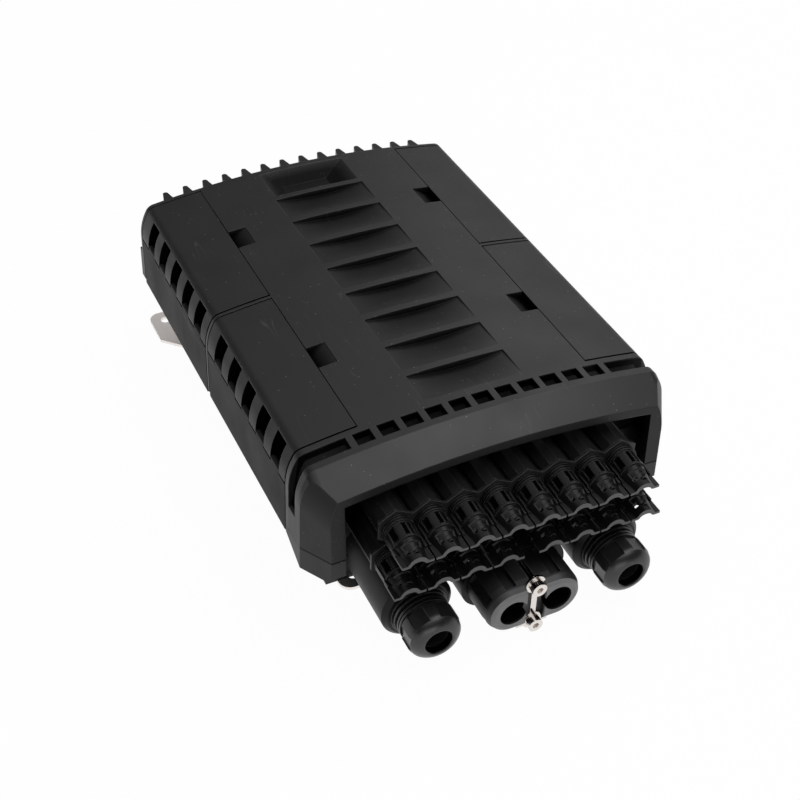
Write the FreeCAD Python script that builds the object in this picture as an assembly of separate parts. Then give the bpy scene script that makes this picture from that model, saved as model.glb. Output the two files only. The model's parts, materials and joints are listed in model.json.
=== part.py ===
"""Fibre distribution box lying on its back: crowned cover, clasped base, drop ports and glands.

Frame: +Z out of the cover, +Y towards the finned rear end, X across, millimetres. The origin is on
the bracket's back face, in the mirror plane, level with the divider between front and rear clasps.
"""
import FreeCAD
import Part
import math
import os

Vector = FreeCAD.Vector

# Heights
BRACKET_SHEET = 2.0
BASE_HEIGHT = 52.0
COVER_HEIGHT = 55.9
SEAM_RISE = 28.5
RIM_THICKNESS = 3.1
REAR_BAND_RISE = 17.0
CHEEK_DROP = 14.0

# Cross section of the closed box
CROWN_INSET = 9.6
CROWN_DROP = 7.6
SHOULDER_RUN = 4.9
SHOULDER_FALL = 3.3
SHOULDER_BULGE = 0.66
SEAM_HALF = 105.6
FLANK_BULGE = 1.05
SIDE_DRAFT = 1.5

# Lengths from the divider between the clasps
REAR_LENGTH = 124.4
REAR_BAND = 4.1
FRONT_LENGTH = 121.0
HOOD_LENGTH = 36.4

# Walls
WALL = 3.0
FLAP_THICKNESS = 3.0
FLAP_GAP = 0.4
CORE_INSET = 12.6
TUB_INSET = 19.6
TUB_CORNER = 10.0
FLOOR = 3.0

# Hood over the ports
BROW_BAND = 4.4
BROW_ANGLE = 29.0
HOOD_LEAN = 3.0
HOOD_FACET_SETBACK = 2.0
HOOD_FACET_ANGLE = 30.3
HOOD_FACET_FALL = 22.0
CHEEK_FLAT = 17.0
CHEEK_CORNER = 3.0
CHEEK_FLOOR_SETBACK = 12.0
MOUTH_INSET = 17.6
MOUTH_WALL = 5.0
MOUTH_ROOF = 4.8

# Grille of square slots across the cover
GRILLE_SETBACK = 0.8
GRILLE_LENGTH = 8.8
GRILLE_WIDTH = 9.6
GRILLE_PITCH = 13.27
GRILLE_COUNT = 11
END_SLOT_FOOT = 16.0

# Louvred strip down the middle of the cover
STRIP_HALF = 28.6
STRIP_REAR = 120.3
STRIP_FRONT = 120.0
LOUVRE_FIRST = 88.8
LOUVRE_PITCH = 26.6
LOUVRE_COUNT = 8
LOUVRE_BAR = 3.6
LOUVRE_DEPTH = 4.2
LOUVRE_SIDE = 1.2
LOUVRE_LIFT = 0.1
TROUGH_DEPTH = 9.0
TROUGH_BACK = 6.5
TROUGH_FLOOR = 13.0
TROUGH_SIDE = 14.0
TROUGH_WALL = 2.0

# Pry pockets beside the clasp flaps
PRY_WIDTH = 10.8
PRY_LENGTH = 18.2
PRY_REAR = 61.8
PRY_FRONT = 60.7
PRY_DEEP = 5.4
PRY_SHALLOW = 0.6

# Rear fins
FIN_COUNT = 14
FIN_PITCH = 13.0
FIN_LENGTH = 13.0
FIN_ROOT = 9.0
FIN_TIP = 3.4
FIN_STEP = 3.4

# Clasps
FLAP_REACH = 39.6
FLAP_EDGE_GAP = 0.5
DIVIDER_HALF = 1.0
CLASP_END = 2.4
CLASP_END_GAP = 1.1
WINDOW_COUNT = 5
WINDOW_WIDTH = 11.8
WINDOW_PITCH = 21.6
WINDOW_START = 8.3
WINDOW_RISE = 17.0
WINDOW_DEPTH = 10.0
HINGE_GAP = 0.4
PIN_RADIUS = 0.8
PIN_CLEARANCE = 0.05
PIN_LENGTH = 14.0
PIN_SETBACK = 2.0
KNUCKLE_SIDES = 8
LIP_THICKNESS = 2.0
LIP_REACH = 8.0

# Lid gasket
GASKET_WIDTH = 2.4
GASKET_DEPTH = 1.5
GASKET_ARCH = 3.0

# Port block and drop ports
PORT_MARGIN = 41.2
PORT_ROW = 8
LOWER_SPREAD = 7.4
UPPER_PORT_RISE = 21.0
ROW_DROP = 20.2
TUNNEL_LENGTH = 39.0
TUNNEL_RADIUS = 9.5
FLANGE_RADIUS = 11.0
FLANGE_THICKNESS = 1.5
TUNNEL_SIDES = 12
PORT_WIDTH = 9.0
PORT_HEIGHT = 7.0
DROP_SEAL_LENGTH = 20.0
PLATE_INSET = 4.0
PLATE_RISE = 36.0
PLATE_DROP = 10.5

# Drop cable clips
CLIP_LENGTH = 26.0
CLIP_GAP = 1.2
CLIP_FOOT_LOW = 4.0
CLIP_FOOT = 2.6
CLIP_FACETS = 6
CLIP_LEG = 1.5
CLIP_LEG_LENGTH = 12.0
CLIP_CLEARANCE = 0.1
CLIP_SHOULDER_INSET = 3.4
CLIP_SHOULDER_Z = 1.2
RING_STEP = 0.6
RING_WIDTH = 1.2
BARREL_LENGTH = 15.0
BARREL_INSET = 1.4
BARREL_DROP = 3.0
COLLAR_STEP = 0.5
COLLAR_WIDTH = 1.0
NOSE_INSET = 2.4
NOSE_STEP = 0.6
HAT_LENGTH = 3.4
CHANNEL_RADIUS = 3.4
CHANNEL_DROP = 2.6
CLIP_WINDOW = 5.0
CLIP_BAR = 1.3
PAD_DEPTH = 0.8
TAB = 1.6
KEY_HOLE = 2.6

# Round cable glands
GLAND_HALF = 56.5
GLAND_RISE = 21.7
BOSS_RADIUS = 20.0
BOSS_LENGTH = 53.0
BOSS_ROUND = 2.5
STEM_RADIUS = 11.0
STEM_LENGTH = 20.0
COLLAR_RADIUS = 16.0
COLLAR_RIB = 1.3
COLLAR_TAPER = 0.7
NECK_RADIUS = 11.4
NECK_LENGTH = 8.0
SEAL_LENGTH = 5.0
NUT_GAP = 0.5
NUT_RADIUS = 14.8
NUT_FLATS = 25.8
NUT_LENGTH = 17.5
NUT_DOME = 8.0
NUT_FACE = 9.4
NUT_STEPS = 3
NUT_BORE = 7.5
NUT_CLEARANCE = 0.06
SEAL_CLEARANCE = 0.4

# Twin inlet
TWIN_HALF = 13.0
TWIN_BORE = 7.8
TWIN_BOSS_RADIUS = 17.6
TWIN_SETBACK = 2.0
TWIN_POCKET_RADIUS = 14.0
TWIN_POCKET_DEPTH = 25.0
TWIN_SEAL_LENGTH = 21.0
CAP_RADIUS = 14.6
CAP_FACE = 10.6
CAP_LENGTH = 24.7
FLUTE_WIDTH = 6.6
FLUTE_DEPTH = 2.8
FLUTE_FRONT = 5.2
CLAMP_CHANNEL_HALF = 5.6
CLAMP_CHANNEL_DEPTH = 4.0
CLAMP_SHEET = 1.5
CLAMP_RING = 5.6
CLAMP_BAR_HALF = 1.7
CLAMP_FOOT_HALF = 9.0
CLAMP_FOOT_REACH = 9.0
SCREW_SPREAD = 13.4
SCREW_SHANK = 2.4
SCREW_HEAD = 4.1
SCREW_HEAD_LENGTH = 4.5
SCREW_SOCKET = 2.0
SCREW_SOCKET_DEPTH = 2.5
SCREW_GRIP = 8.0
FIT = 0.1
TOUCH = 0.01

# Mounting bracket
BRACKET_FRONT = 131.7
BRACKET_FRONT_INSET = 7.0
BRACKET_REAR = 149.0
BRACKET_REAR_INSET = 4.1
EAR_START = 97.0
EAR_FULL = 120.0
BRACKET_CORNER = 7.0
WALL_HOLE_RADIUS = 3.2
WALL_HOLE_INSET_X = 9.5
WALL_HOLE_INSET_Y = 9.0
BAND_SLOT_LENGTH = 40.0
BAND_SLOT_WIDTH = 8.0
BAND_SLOT_Y = 100.0
BRACKET_SCREW_X = 60.0
BRACKET_SCREW_Y = 56.0
BRACKET_SCREW_RADIUS = 2.0
BRACKET_SCREW_HEAD = 3.8
BRACKET_SCREW_LENGTH = 12.0
SCREW_POST_HALF = 5.0
SCREW_POST_HEIGHT = 12.0

# Pieces inside the chamber
ADAPTER_WALL_SETBACK = 36.0
ADAPTER_PLATE = 2.0
ADAPTER_FOOT = 16.0
ADAPTER_MARGIN = 8.0
ADAPTER_WIDTH = 9.4
ADAPTER_HEIGHT = 13.0
ADAPTER_LENGTH = 28.0
ADAPTER_FLANGE = 2.0
ADAPTER_EAR = 1.6
TRAY_LENGTH = 150.0
TRAY_HALF = 62.0
TRAY_HEIGHT = 12.0
TRAY_WALL = 2.0
TRAY_CENTRE_Y = 25.0
TRAY_POST_HEIGHT = 45.0
TRAY_POST_HALF = 6.0
TRAY_POST_INSET = 14.0
TRAY_CORNER = 16.0
SPLITTER_LENGTH = 60.0
SPLITTER_WIDTH = 12.0
SPLITTER_HEIGHT = 4.5
SADDLE_SETBACK = 18.0
SADDLE_WIDTH = 30.0
SADDLE_LENGTH = 12.0
SADDLE_CABLE = 7.0

# Levels and stations that follow from the sizes above
CROWN_HALF = SEAM_HALF - CROWN_INSET
SHOULDER_CORE = SEAM_HALF - CORE_INSET
TUB_HALF = SEAM_HALF - TUB_INSET
MOUTH_HALF = SEAM_HALF - MOUTH_INSET
PANEL_LINE = SEAM_HALF - FLAP_REACH
WINDOW_INNER = SEAM_HALF - WINDOW_DEPTH
PLATE_HALF = TUB_HALF - PLATE_INSET
BRACKET_FRONT_HALF = TUB_HALF - BRACKET_FRONT_INSET
BRACKET_REAR_HALF = SEAM_HALF - BRACKET_REAR_INSET
PORT_PITCH = 2 * (SEAM_HALF - PORT_MARGIN) / (PORT_ROW - 1)
CLIP_HALF = (PORT_PITCH - CLIP_GAP) / 2
CLIP_SHOULDER = CLIP_HALF - CLIP_SHOULDER_INSET
ROOT_RADIUS = CLIP_HALF - RING_STEP
BARREL_RADIUS = CLIP_HALF - BARREL_INSET
NOSE_RADIUS = CLIP_HALF - NOSE_INSET
BASE_LOW = BRACKET_SHEET
PARTING_Z = BASE_LOW + BASE_HEIGHT
CROWN_Z = PARTING_Z + COVER_HEIGHT
SEAM_Z = PARTING_Z + SEAM_RISE
RIM_LOW = PARTING_Z - RIM_THICKNESS
PANEL_LOW = RIM_LOW - LIP_THICKNESS
POCKET = FLAP_THICKNESS + FLAP_GAP
SKIN = POCKET + WALL
BULKHEAD_Y = -FRONT_LENGTH
BULKHEAD_FACE = BULKHEAD_Y - WALL
HOOD_FRONT = BULKHEAD_Y - HOOD_LENGTH
RIM_REAR = REAR_LENGTH + REAR_BAND
GRILLE_REAR = BULKHEAD_FACE - GRILLE_SETBACK
GRILLE_FRONT = GRILLE_REAR - GRILLE_LENGTH
BROW_Y = GRILLE_FRONT - BROW_BAND
FACET_Y = BROW_Y - HOOD_FACET_SETBACK
PIN_X = SEAM_HALF - FLAP_THICKNESS / 2
FLANGE_FACE = BULKHEAD_FACE - TUNNEL_LENGTH - FLANGE_THICKNESS
BOSS_END = BULKHEAD_FACE - BOSS_LENGTH
TWIN_BOSS_END = BOSS_END + TWIN_SETBACK
UPPER_PORT_Z = PARTING_Z + UPPER_PORT_RISE
PLATE_TOP = PARTING_Z + PLATE_RISE
PLATE_SEAT = PARTING_Z - PLATE_DROP
GLAND_Z = BASE_LOW + GLAND_RISE
LOWER_PORT_Z = UPPER_PORT_Z - ROW_DROP
REACH = 140.0
TALL = 160.0


def box(x0, x1, y0, y1, z0, z1):
    """Box between two corners."""
    return Part.makeBox(x1 - x0, y1 - y0, z1 - z0, Vector(x0, y0, z0))


def rod(x, z, radius, y0, y1):
    """Cylinder along Y."""
    return Part.makeCylinder(radius, y1 - y0, Vector(x, y0, z), Vector(0, 1, 0))


def pillar(x, y, half, z0, z1):
    """Square post."""
    return box(x - half, x + half, y - half, y + half, z0, z1)


def post(x, y, radius, z0, z1):
    """Cylinder along Z."""
    return Part.makeCylinder(radius, z1 - z0, Vector(x, y, z0), Vector(0, 0, 1))


def stadium(half, z, radius, y0, y1):
    """Two rods along Y, side by side, with the space between them filled."""
    ends = [rod(side * half, z, radius, y0, y1) for side in (-1, 1)]
    return fuse(ends + [box(-half, half, y0, y1, z - radius, z + radius)])


def bar(x, z, radius, y0, y1, sides, turn):
    """Bar along Y with flat sides, measured over its corners, its first corner turned up from +X."""
    angles = [math.radians(turn + 360 * k / sides) for k in range(sides)]
    corners = [Vector(x + radius * math.cos(a), y0, z + radius * math.sin(a)) for a in angles]
    return polygon(corners).extrude(Vector(0, y1 - y0, 0))


def half_round(z, radius, y):
    """Points of a faceted half circle that stands on its diameter."""
    angles = [math.pi * k / CLIP_FACETS for k in range(CLIP_FACETS + 1)]
    return [Vector(radius * math.cos(a), y, z + radius * math.sin(a)) for a in angles]


def half_tube(z0, radius0, y0, z1, radius1, y1):
    """Half-round bar in the mirror plane whose radius and height change from y0 to y1."""
    front = half_round(z0, radius0, y0)
    rear = half_round(z1, radius1, y1)
    faces = [polygon(front), polygon(rear)]
    for i in range(len(front)):
        j = i - 1
        faces.append(polygon([front[j], front[i], rear[i], rear[j]]))
    return Part.Solid(Part.Shell(faces))


def polygon(points):
    """Closed flat face through the points."""
    return Part.Face(Part.makePolygon(points + points[:1]))


def fuse(shapes):
    """One solid from several that touch or overlap."""
    return shapes[0].multiFuse(shapes[1:]).removeSplitter()


def mirrored(shape):
    """The same piece on the other side of the mirror plane."""
    return shape.mirror(Vector(0, 0, 0), Vector(1, 0, 0))


def both_sides(shape):
    return [shape, mirrored(shape)]


def arc(start, end, bulge):
    """Edge in the XZ plane that bulges to the left of its way from start to end."""
    along = end - start
    left = Vector(-along.z, 0, along.x).normalize()
    middle = (start + end) * 0.5 + left * bulge
    return Part.Arc(start, middle, end).toShape()


def section(inset, low):
    """Face of the closed box's cross section at y 0, set in by inset, with its foot at low."""
    foot_z = low - inset
    shoulder_z = CROWN_Z - CROWN_DROP
    foot_half = SEAM_HALF + (SEAM_Z - foot_z) * math.tan(math.radians(SIDE_DRAFT))
    right = [
        Vector(CROWN_HALF, 0, shoulder_z),
        Vector(CROWN_HALF + SHOULDER_RUN, 0, shoulder_z - SHOULDER_FALL),
        Vector(SEAM_HALF, 0, SEAM_Z),
        Vector(foot_half, 0, foot_z),
    ]
    left = [Vector(-p.x, 0, p.z) for p in right]
    edges = [
        Part.makeLine(left[3], left[2]),
        arc(left[2], left[1], FLANK_BULGE),
        arc(left[1], left[0], SHOULDER_BULGE),
        arc(left[0], right[0], CROWN_DROP),
        arc(right[0], right[1], SHOULDER_BULGE),
        arc(right[1], right[2], FLANK_BULGE),
        Part.makeLine(right[2], right[3]),
        Part.makeLine(right[3], left[3]),
    ]
    face = Part.Face(Part.Wire(edges))
    if inset:
        face = face.makeOffset2D(-inset)
    return face


def slab(y0, y1, inset, low):
    """Length of the closed box's form, set in by inset."""
    return section(inset, low).translated(Vector(0, y0, 0)).extrude(Vector(0, y1 - y0, 0))


def sweep(inset, low, y, angle_in, angle_down):
    """The box's section carried forward from y past the hood's front face, moving in from the right and down."""
    run = y - HOOD_FRONT + MOUTH_WALL
    inward = run * math.tan(math.radians(angle_in))
    fall = run * math.tan(math.radians(angle_down))
    return section(inset, low).translated(Vector(0, y, 0)).extrude(Vector(-inward, -run, -fall))


def cheek_form(inset, low):
    """The section carried forward and inward from both sides, which gives the hood its front facets."""
    right = sweep(inset, low, FACET_Y, HOOD_FACET_ANGLE, HOOD_FACET_FALL)
    right = right.common(box(0, REACH, HOOD_FRONT - MOUTH_WALL, FACET_Y, 0, TALL))
    return fuse([slab(FACET_Y, BROW_Y, inset, low)] + both_sides(right))


def hood_form(inset, low):
    """The cheeks' form under the hood's sloping brow."""
    return cheek_form(inset, low).common(sweep(inset, low, BROW_Y, 0, BROW_ANGLE))


def crown_at(x):
    """Height of the cover's crowned top."""
    radius = (CROWN_HALF ** 2 + CROWN_DROP ** 2) / (2 * CROWN_DROP)
    return CROWN_Z - radius + math.sqrt(radius ** 2 - x ** 2)


def mouth_space(form, low):
    """Space under the hood behind its front frame, with the opening through the frame."""
    frame_y = HOOD_FRONT + MOUTH_WALL
    space = fuse([slab(BROW_Y, BULKHEAD_FACE, MOUTH_ROOF, low), form])
    behind = box(-REACH, REACH, frame_y, BULKHEAD_FACE, 0, TALL)
    opening = box(-MOUTH_HALF, MOUTH_HALF, HOOD_FRONT - MOUTH_WALL, frame_y, 0, TALL)
    return space.common(fuse([behind, opening]))


def cheek_side(lift):
    """Side view of the lower hood above its sloping underside, raised by lift."""
    low = PARTING_Z - CHEEK_DROP + lift
    return polygon([
        Vector(-REACH, HOOD_FRONT, low + CHEEK_CORNER),
        Vector(-REACH, HOOD_FRONT + CHEEK_CORNER, low),
        Vector(-REACH, HOOD_FRONT + CHEEK_FLAT, low),
        Vector(-REACH, BULKHEAD_Y, PANEL_LOW + lift),
        Vector(-REACH, BULKHEAD_Y, PARTING_Z),
        Vector(-REACH, HOOD_FRONT, PARTING_Z),
    ]).extrude(Vector(2 * REACH, 0, 0))


def clasp_spans():
    """Y limits of the rear and the front clasp recess, with their names."""
    return {"rear": (DIVIDER_HALF, REAR_LENGTH - CLASP_END), "front": (BULKHEAD_Y, -DIVIDER_HALF)}


def clasp_recess(y0, y1):
    """Both sides' skin in one clasp's length, from the panel line down past the rim."""
    low = PANEL_LOW - WALL
    skin = slab(y0, y1, -WALL, low).cut(slab(y0, y1, POCKET, low))
    sides = [box(PANEL_LINE, REACH, y0, y1, low - WALL, TALL)]
    return skin.common(Part.makeCompound(sides + [mirrored(sides[0])]))


def clasp_body_span(y0, y1):
    return y0 + CLASP_END_GAP, y1 - CLASP_END_GAP


def window_spans(y0, y1):
    """Y limits of the windows of a flap between y0 and y1, counted from its front end."""
    first = y0 + WINDOW_START
    return [(first + i * WINDOW_PITCH, first + i * WINDOW_PITCH + WINDOW_WIDTH) for i in range(WINDOW_COUNT)]


def louvre(rear, front):
    """Scoop with a hollow floor, deepest in the middle of its rear edge, that rises to its front edge."""
    edge = crown_at(STRIP_HALF)
    top = CROWN_Z + WALL
    sections = []
    for y, side_drop, middle_drop in ((rear, LOUVRE_SIDE, LOUVRE_DEPTH), (front, -LOUVRE_LIFT, -LOUVRE_LIFT)):
        left = Vector(-STRIP_HALF, y, edge - side_drop)
        right = Vector(STRIP_HALF, y, edge - side_drop)
        left_top = Vector(-STRIP_HALF, y, top)
        right_top = Vector(STRIP_HALF, y, top)
        floor = Part.Arc(left, Vector(0, y, CROWN_Z - middle_drop), right).toShape()
        lines = [Part.makeLine(right, right_top), Part.makeLine(right_top, left_top), Part.makeLine(left_top, left)]
        sections.append(Part.Wire([floor] + lines))
    return Part.makeLoft(sections, True, True)


def trough(rear, front):
    """Rear recess of the strip: a steep rear wall, hipped sides, a flat floor and a front slope."""
    recess = Part.makeWedge(
        -STRIP_HALF, 0, 0, TROUGH_BACK, -STRIP_HALF + TROUGH_SIDE,
        STRIP_HALF, TROUGH_DEPTH, rear - front, TROUGH_BACK + TROUGH_FLOOR, STRIP_HALF - TROUGH_SIDE,
    )
    recess.rotate(Vector(0, 0, 0), Vector(1, 0, 0), -90)
    return recess.mirror(Vector(0, 0, 0), Vector(0, 1, 0)).translated(Vector(0, rear, CROWN_Z))


def pry_pocket(centre_y):
    """Pocket beside the flap's edge: deep at the flap, shallow towards the middle."""
    top = crown_at(PANEL_LINE)
    inner = PANEL_LINE - PRY_WIDTH
    points = [
        Vector(PANEL_LINE + POCKET, 0, top + WALL),
        Vector(PANEL_LINE + POCKET, 0, top - PRY_DEEP),
        Vector(PANEL_LINE, 0, top - PRY_DEEP),
        Vector(inner, 0, crown_at(inner) - PRY_SHALLOW),
        Vector(inner, 0, top + WALL),
    ]
    face = polygon(points).translated(Vector(0, centre_y - PRY_LENGTH / 2, 0))
    return face.extrude(Vector(0, PRY_LENGTH, 0))


def fin(x):
    """Tapered rear fin with a round tip, standing on the parting plane."""
    root = REAR_LENGTH - WALL / 2
    shoulder = REAR_LENGTH + FIN_LENGTH - FIN_TIP / 2
    tip = Vector(x, REAR_LENGTH + FIN_LENGTH, PARTING_Z)
    corners = [
        Vector(x - FIN_TIP / 2, shoulder, PARTING_Z),
        Vector(x - FIN_ROOT / 2, root, PARTING_Z),
        Vector(x + FIN_ROOT / 2, root, PARTING_Z),
        Vector(x + FIN_TIP / 2, shoulder, PARTING_Z),
    ]
    edges = [Part.makeLine(corners[i], corners[i + 1]) for i in range(3)]
    edges.append(Part.Arc(corners[3], tip, corners[0]).toShape())
    height = crown_at(x) - FIN_STEP - PARTING_Z
    return Part.Face(Part.Wire(edges)).extrude(Vector(0, 0, height))


def fins():
    first = -FIN_PITCH * (FIN_COUNT - 1) / 2
    return [fin(first + i * FIN_PITCH) for i in range(FIN_COUNT)]


def grille():
    """Square slots across the cover and the long slot at each end that turns down the side."""
    first = -GRILLE_PITCH * (GRILLE_COUNT - 1) / 2
    cuts = []
    for i in range(GRILLE_COUNT):
        x = first + i * GRILLE_PITCH
        cuts.append(box(x - GRILLE_WIDTH / 2, x + GRILLE_WIDTH / 2, GRILLE_FRONT, GRILLE_REAR, PLATE_TOP, TALL))
    end_x = -first + GRILLE_PITCH - GRILLE_WIDTH / 2
    end_slot = box(end_x, REACH, GRILLE_FRONT, GRILLE_REAR, PARTING_Z + END_SLOT_FOOT, TALL)
    return cuts + both_sides(end_slot)


def make_cover():
    above = box(-REACH, REACH, -2 * REACH, 2 * REACH, PARTING_Z, TALL)
    lean = math.tan(math.radians(HOOD_LEAN))
    leaning = polygon([
        Vector(-REACH, HOOD_FRONT, PARTING_Z),
        Vector(-REACH, 2 * REACH, PARTING_Z),
        Vector(-REACH, 2 * REACH, TALL),
        Vector(-REACH, HOOD_FRONT + (TALL - PARTING_Z) * lean, TALL),
    ]).extrude(Vector(2 * REACH, 0, 0))
    body = slab(BROW_Y, REAR_LENGTH, 0, PARTING_Z)
    hood = hood_form(0, PARTING_Z).common(above).common(leaning)
    band = slab(REAR_LENGTH, RIM_REAR, 0, PARTING_Z)
    band = band.cut(box(-REACH, REACH, REAR_LENGTH, RIM_REAR, PARTING_Z + REAR_BAND_RISE, TALL))
    cover = fuse([body, hood, band] + fins())

    chamber = slab(BULKHEAD_Y, REAR_LENGTH - WALL, SKIN, PARTING_Z - WALL)
    core = box(SHOULDER_CORE, REACH, BULKHEAD_Y, REAR_LENGTH, SEAM_Z - WALL, TALL)
    under_trough = box(-STRIP_HALF, STRIP_HALF, LOUVRE_FIRST, REAR_LENGTH,
                       CROWN_Z - TROUGH_DEPTH - TROUGH_WALL, TALL)
    chamber = chamber.cut(Part.makeCompound(both_sides(core) + [under_trough]))
    mouth = mouth_space(hood_form(MOUTH_ROOF, PARTING_Z - WALL), PARTING_Z - WALL)
    arch = box(-PLATE_HALF - GASKET_ARCH, PLATE_HALF + GASKET_ARCH, BULKHEAD_FACE, BULKHEAD_Y,
               PARTING_Z, PLATE_TOP + GASKET_ARCH)
    cuts = [chamber, mouth, arch] + grille()

    for y0, y1 in clasp_spans().values():
        cuts.append(clasp_recess(y0, y1))
        f0, f1 = clasp_body_span(y0, y1)
        for w0, w1 in window_spans(f0, f1):
            cuts += both_sides(box(WINDOW_INNER, REACH, w0, w1, SEAM_Z, SEAM_Z + WINDOW_RISE - WALL))

    for i in range(LOUVRE_COUNT):
        rear = LOUVRE_FIRST - i * LOUVRE_PITCH
        front = max(rear - LOUVRE_PITCH + LOUVRE_BAR, -STRIP_FRONT)
        cuts.append(louvre(rear, front))
    cuts.append(trough(STRIP_REAR, LOUVRE_FIRST + LOUVRE_BAR))
    for centre in (PRY_REAR, -PRY_FRONT):
        cuts += both_sides(pry_pocket(centre))
    return cover.cut(cuts)


def gasket_ring():
    """Flat run of the gasket under the cover's skirt and bulkhead, as an open ring."""
    middle = (POCKET + SKIN) / 2
    half = GASKET_WIDTH / 2
    z0 = PARTING_Z - GASKET_DEPTH
    rear = REAR_LENGTH - WALL / 2
    front = BULKHEAD_Y - WALL / 2
    outer = slab(front - half, rear + half, middle - half, z0)
    inner = slab(front + half, rear - half, middle + half, z0)
    ring = outer.cut(inner).common(box(-REACH, REACH, -REACH, REACH, z0, PARTING_Z))
    return ring.cut(box(-PLATE_HALF, PLATE_HALF, -REACH, 0, z0, PARTING_Z))


def make_gasket():
    front = BULKHEAD_Y - WALL / 2
    y0 = front - GASKET_WIDTH / 2
    y1 = front + GASKET_WIDTH / 2
    half = PLATE_HALF + GASKET_ARCH
    arch = box(-half, half, y0, y1, PARTING_Z, PLATE_TOP + GASKET_ARCH)
    arch = arch.cut(box(-PLATE_HALF, PLATE_HALF, y0, y1, PARTING_Z, PLATE_TOP))
    return fuse([gasket_ring(), arch])


def ports():
    """Name, x and z of each drop port, from left to right."""
    places = []
    for row, z, spread in (("upper", UPPER_PORT_Z, 0), ("lower", LOWER_PORT_Z, LOWER_SPREAD)):
        for i in range(PORT_ROW):
            x = (i - (PORT_ROW - 1) / 2) * PORT_PITCH
            x += math.copysign(spread / 2, x)
            places.append((f"{row}_{i + 1}", x, z))
    return places


def port_space(x, z, y0, y1):
    """Length of a drop port's rectangular passage."""
    half_w = PORT_WIDTH / 2
    half_h = PORT_HEIGHT / 2
    return box(x - half_w, x + half_w, y0, y1, z - half_h, z + half_h)


def make_port_block():
    """Back plate, scalloped tunnels and wavy flange in one moulding."""
    plate = box(-PLATE_HALF, PLATE_HALF, BULKHEAD_FACE, BULKHEAD_Y, PLATE_SEAT, PLATE_TOP)
    flange_back = FLANGE_FACE + FLANGE_THICKNESS
    web_half = (PORT_ROW - 1) / 2 * PORT_PITCH
    solids = [plate, box(-web_half, web_half, FLANGE_FACE, BULKHEAD_FACE, LOWER_PORT_Z, UPPER_PORT_Z)]
    bores = []
    for name, x, z in ports():
        solids.append(bar(x, z, TUNNEL_RADIUS, flange_back, BULKHEAD_FACE, TUNNEL_SIDES, 0))
        solids.append(bar(x, z, FLANGE_RADIUS, FLANGE_FACE, flange_back, 6, 90))
        bores.append(port_space(x, z, FLANGE_FACE, BULKHEAD_Y))
    return fuse(solids).cut(bores)


def make_clip(x, z):
    """Half-round cable clip: snap legs, rings, windowed barrel, nose with a flat pad and two feet."""
    nose = FLANGE_FACE - CLIP_LENGTH
    hat = nose + HAT_LENGTH
    barrel_end = FLANGE_FACE - BARREL_LENGTH
    low = -CLIP_FOOT_LOW
    foot_top = low + CLIP_FOOT
    nose_top = low + NOSE_RADIUS
    ring_pitch = 2 * RING_WIDTH
    rings_end = FLANGE_FACE - 2 * ring_pitch

    body = [
        half_tube(-BARREL_DROP, BARREL_RADIUS, barrel_end, 0, ROOT_RADIUS, FLANGE_FACE),
        half_tube(low, NOSE_RADIUS, nose, -BARREL_DROP, BARREL_RADIUS - NOSE_STEP, barrel_end),
        box(-CLIP_HALF, CLIP_HALF, nose, FLANGE_FACE, low, foot_top),
    ]
    for i in range(2):
        y = FLANGE_FACE - i * ring_pitch
        radius = ROOT_RADIUS + RING_STEP
        body.append(half_tube(-i * RING_STEP, radius, y - RING_WIDTH, -i * RING_STEP, radius, y))
    radius = BARREL_RADIUS + COLLAR_STEP
    body.append(half_tube(-BARREL_DROP, radius, barrel_end, -BARREL_DROP, radius, barrel_end + COLLAR_WIDTH))
    skirt = polygon([
        Vector(-CLIP_HALF, hat, low),
        Vector(-CLIP_HALF, hat, foot_top),
        Vector(-CLIP_SHOULDER, hat, CLIP_SHOULDER_Z),
        Vector(CLIP_SHOULDER, hat, CLIP_SHOULDER_Z),
        Vector(CLIP_HALF, hat, foot_top),
        Vector(CLIP_HALF, hat, low),
    ]).extrude(Vector(0, FLANGE_FACE - hat, 0))
    body.append(skirt)
    for side in (-1, 1):
        tab_x = side * (KEY_HOLE + TAB) / 2
        body.append(box(tab_x - TAB / 2, tab_x + TAB / 2, hat, hat + TAB, CLIP_SHOULDER_Z, nose_top + TAB / 2))
    clip = fuse(body).cut(box(-REACH, REACH, nose, FLANGE_FACE, -REACH, low))

    pad_front = hat + 2 * TAB
    window_rear = rings_end - COLLAR_WIDTH
    window_front = barrel_end + 2 * COLLAR_WIDTH
    cuts = [
        half_tube(-CHANNEL_DROP, CHANNEL_RADIUS, nose, -CHANNEL_DROP, CHANNEL_RADIUS, rings_end),
        box(-CHANNEL_RADIUS, CHANNEL_RADIUS, nose, rings_end, low, -CHANNEL_DROP),
        box(-NOSE_RADIUS, NOSE_RADIUS, pad_front, barrel_end, nose_top + TAB - PAD_DEPTH, ROOT_RADIUS),
        box(-KEY_HOLE / 2, KEY_HOLE / 2, hat, hat + KEY_HOLE, low, ROOT_RADIUS),
    ]
    for side in (-1, 1):
        near = side * CLIP_BAR
        far = side * (CLIP_BAR + CLIP_WINDOW)
        cuts.append(box(min(near, far), max(near, far), window_front, window_rear, foot_top, ROOT_RADIUS))
    outer = PORT_WIDTH / 2 - CLIP_CLEARANCE
    half = PORT_HEIGHT / 2 - CLIP_CLEARANCE
    leg = box(outer - CLIP_LEG, outer, FLANGE_FACE, FLANGE_FACE + CLIP_LEG_LENGTH, -half, half)
    return fuse([clip.cut(cuts)] + both_sides(leg)).translated(Vector(x, 0, z))


def make_drop_seals():
    """Rubber plug in the inner end of each drop port."""
    front = BULKHEAD_Y - DROP_SEAL_LENGTH
    return Part.makeCompound([port_space(x, z, front, BULKHEAD_Y) for name, x, z in ports()])


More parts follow.
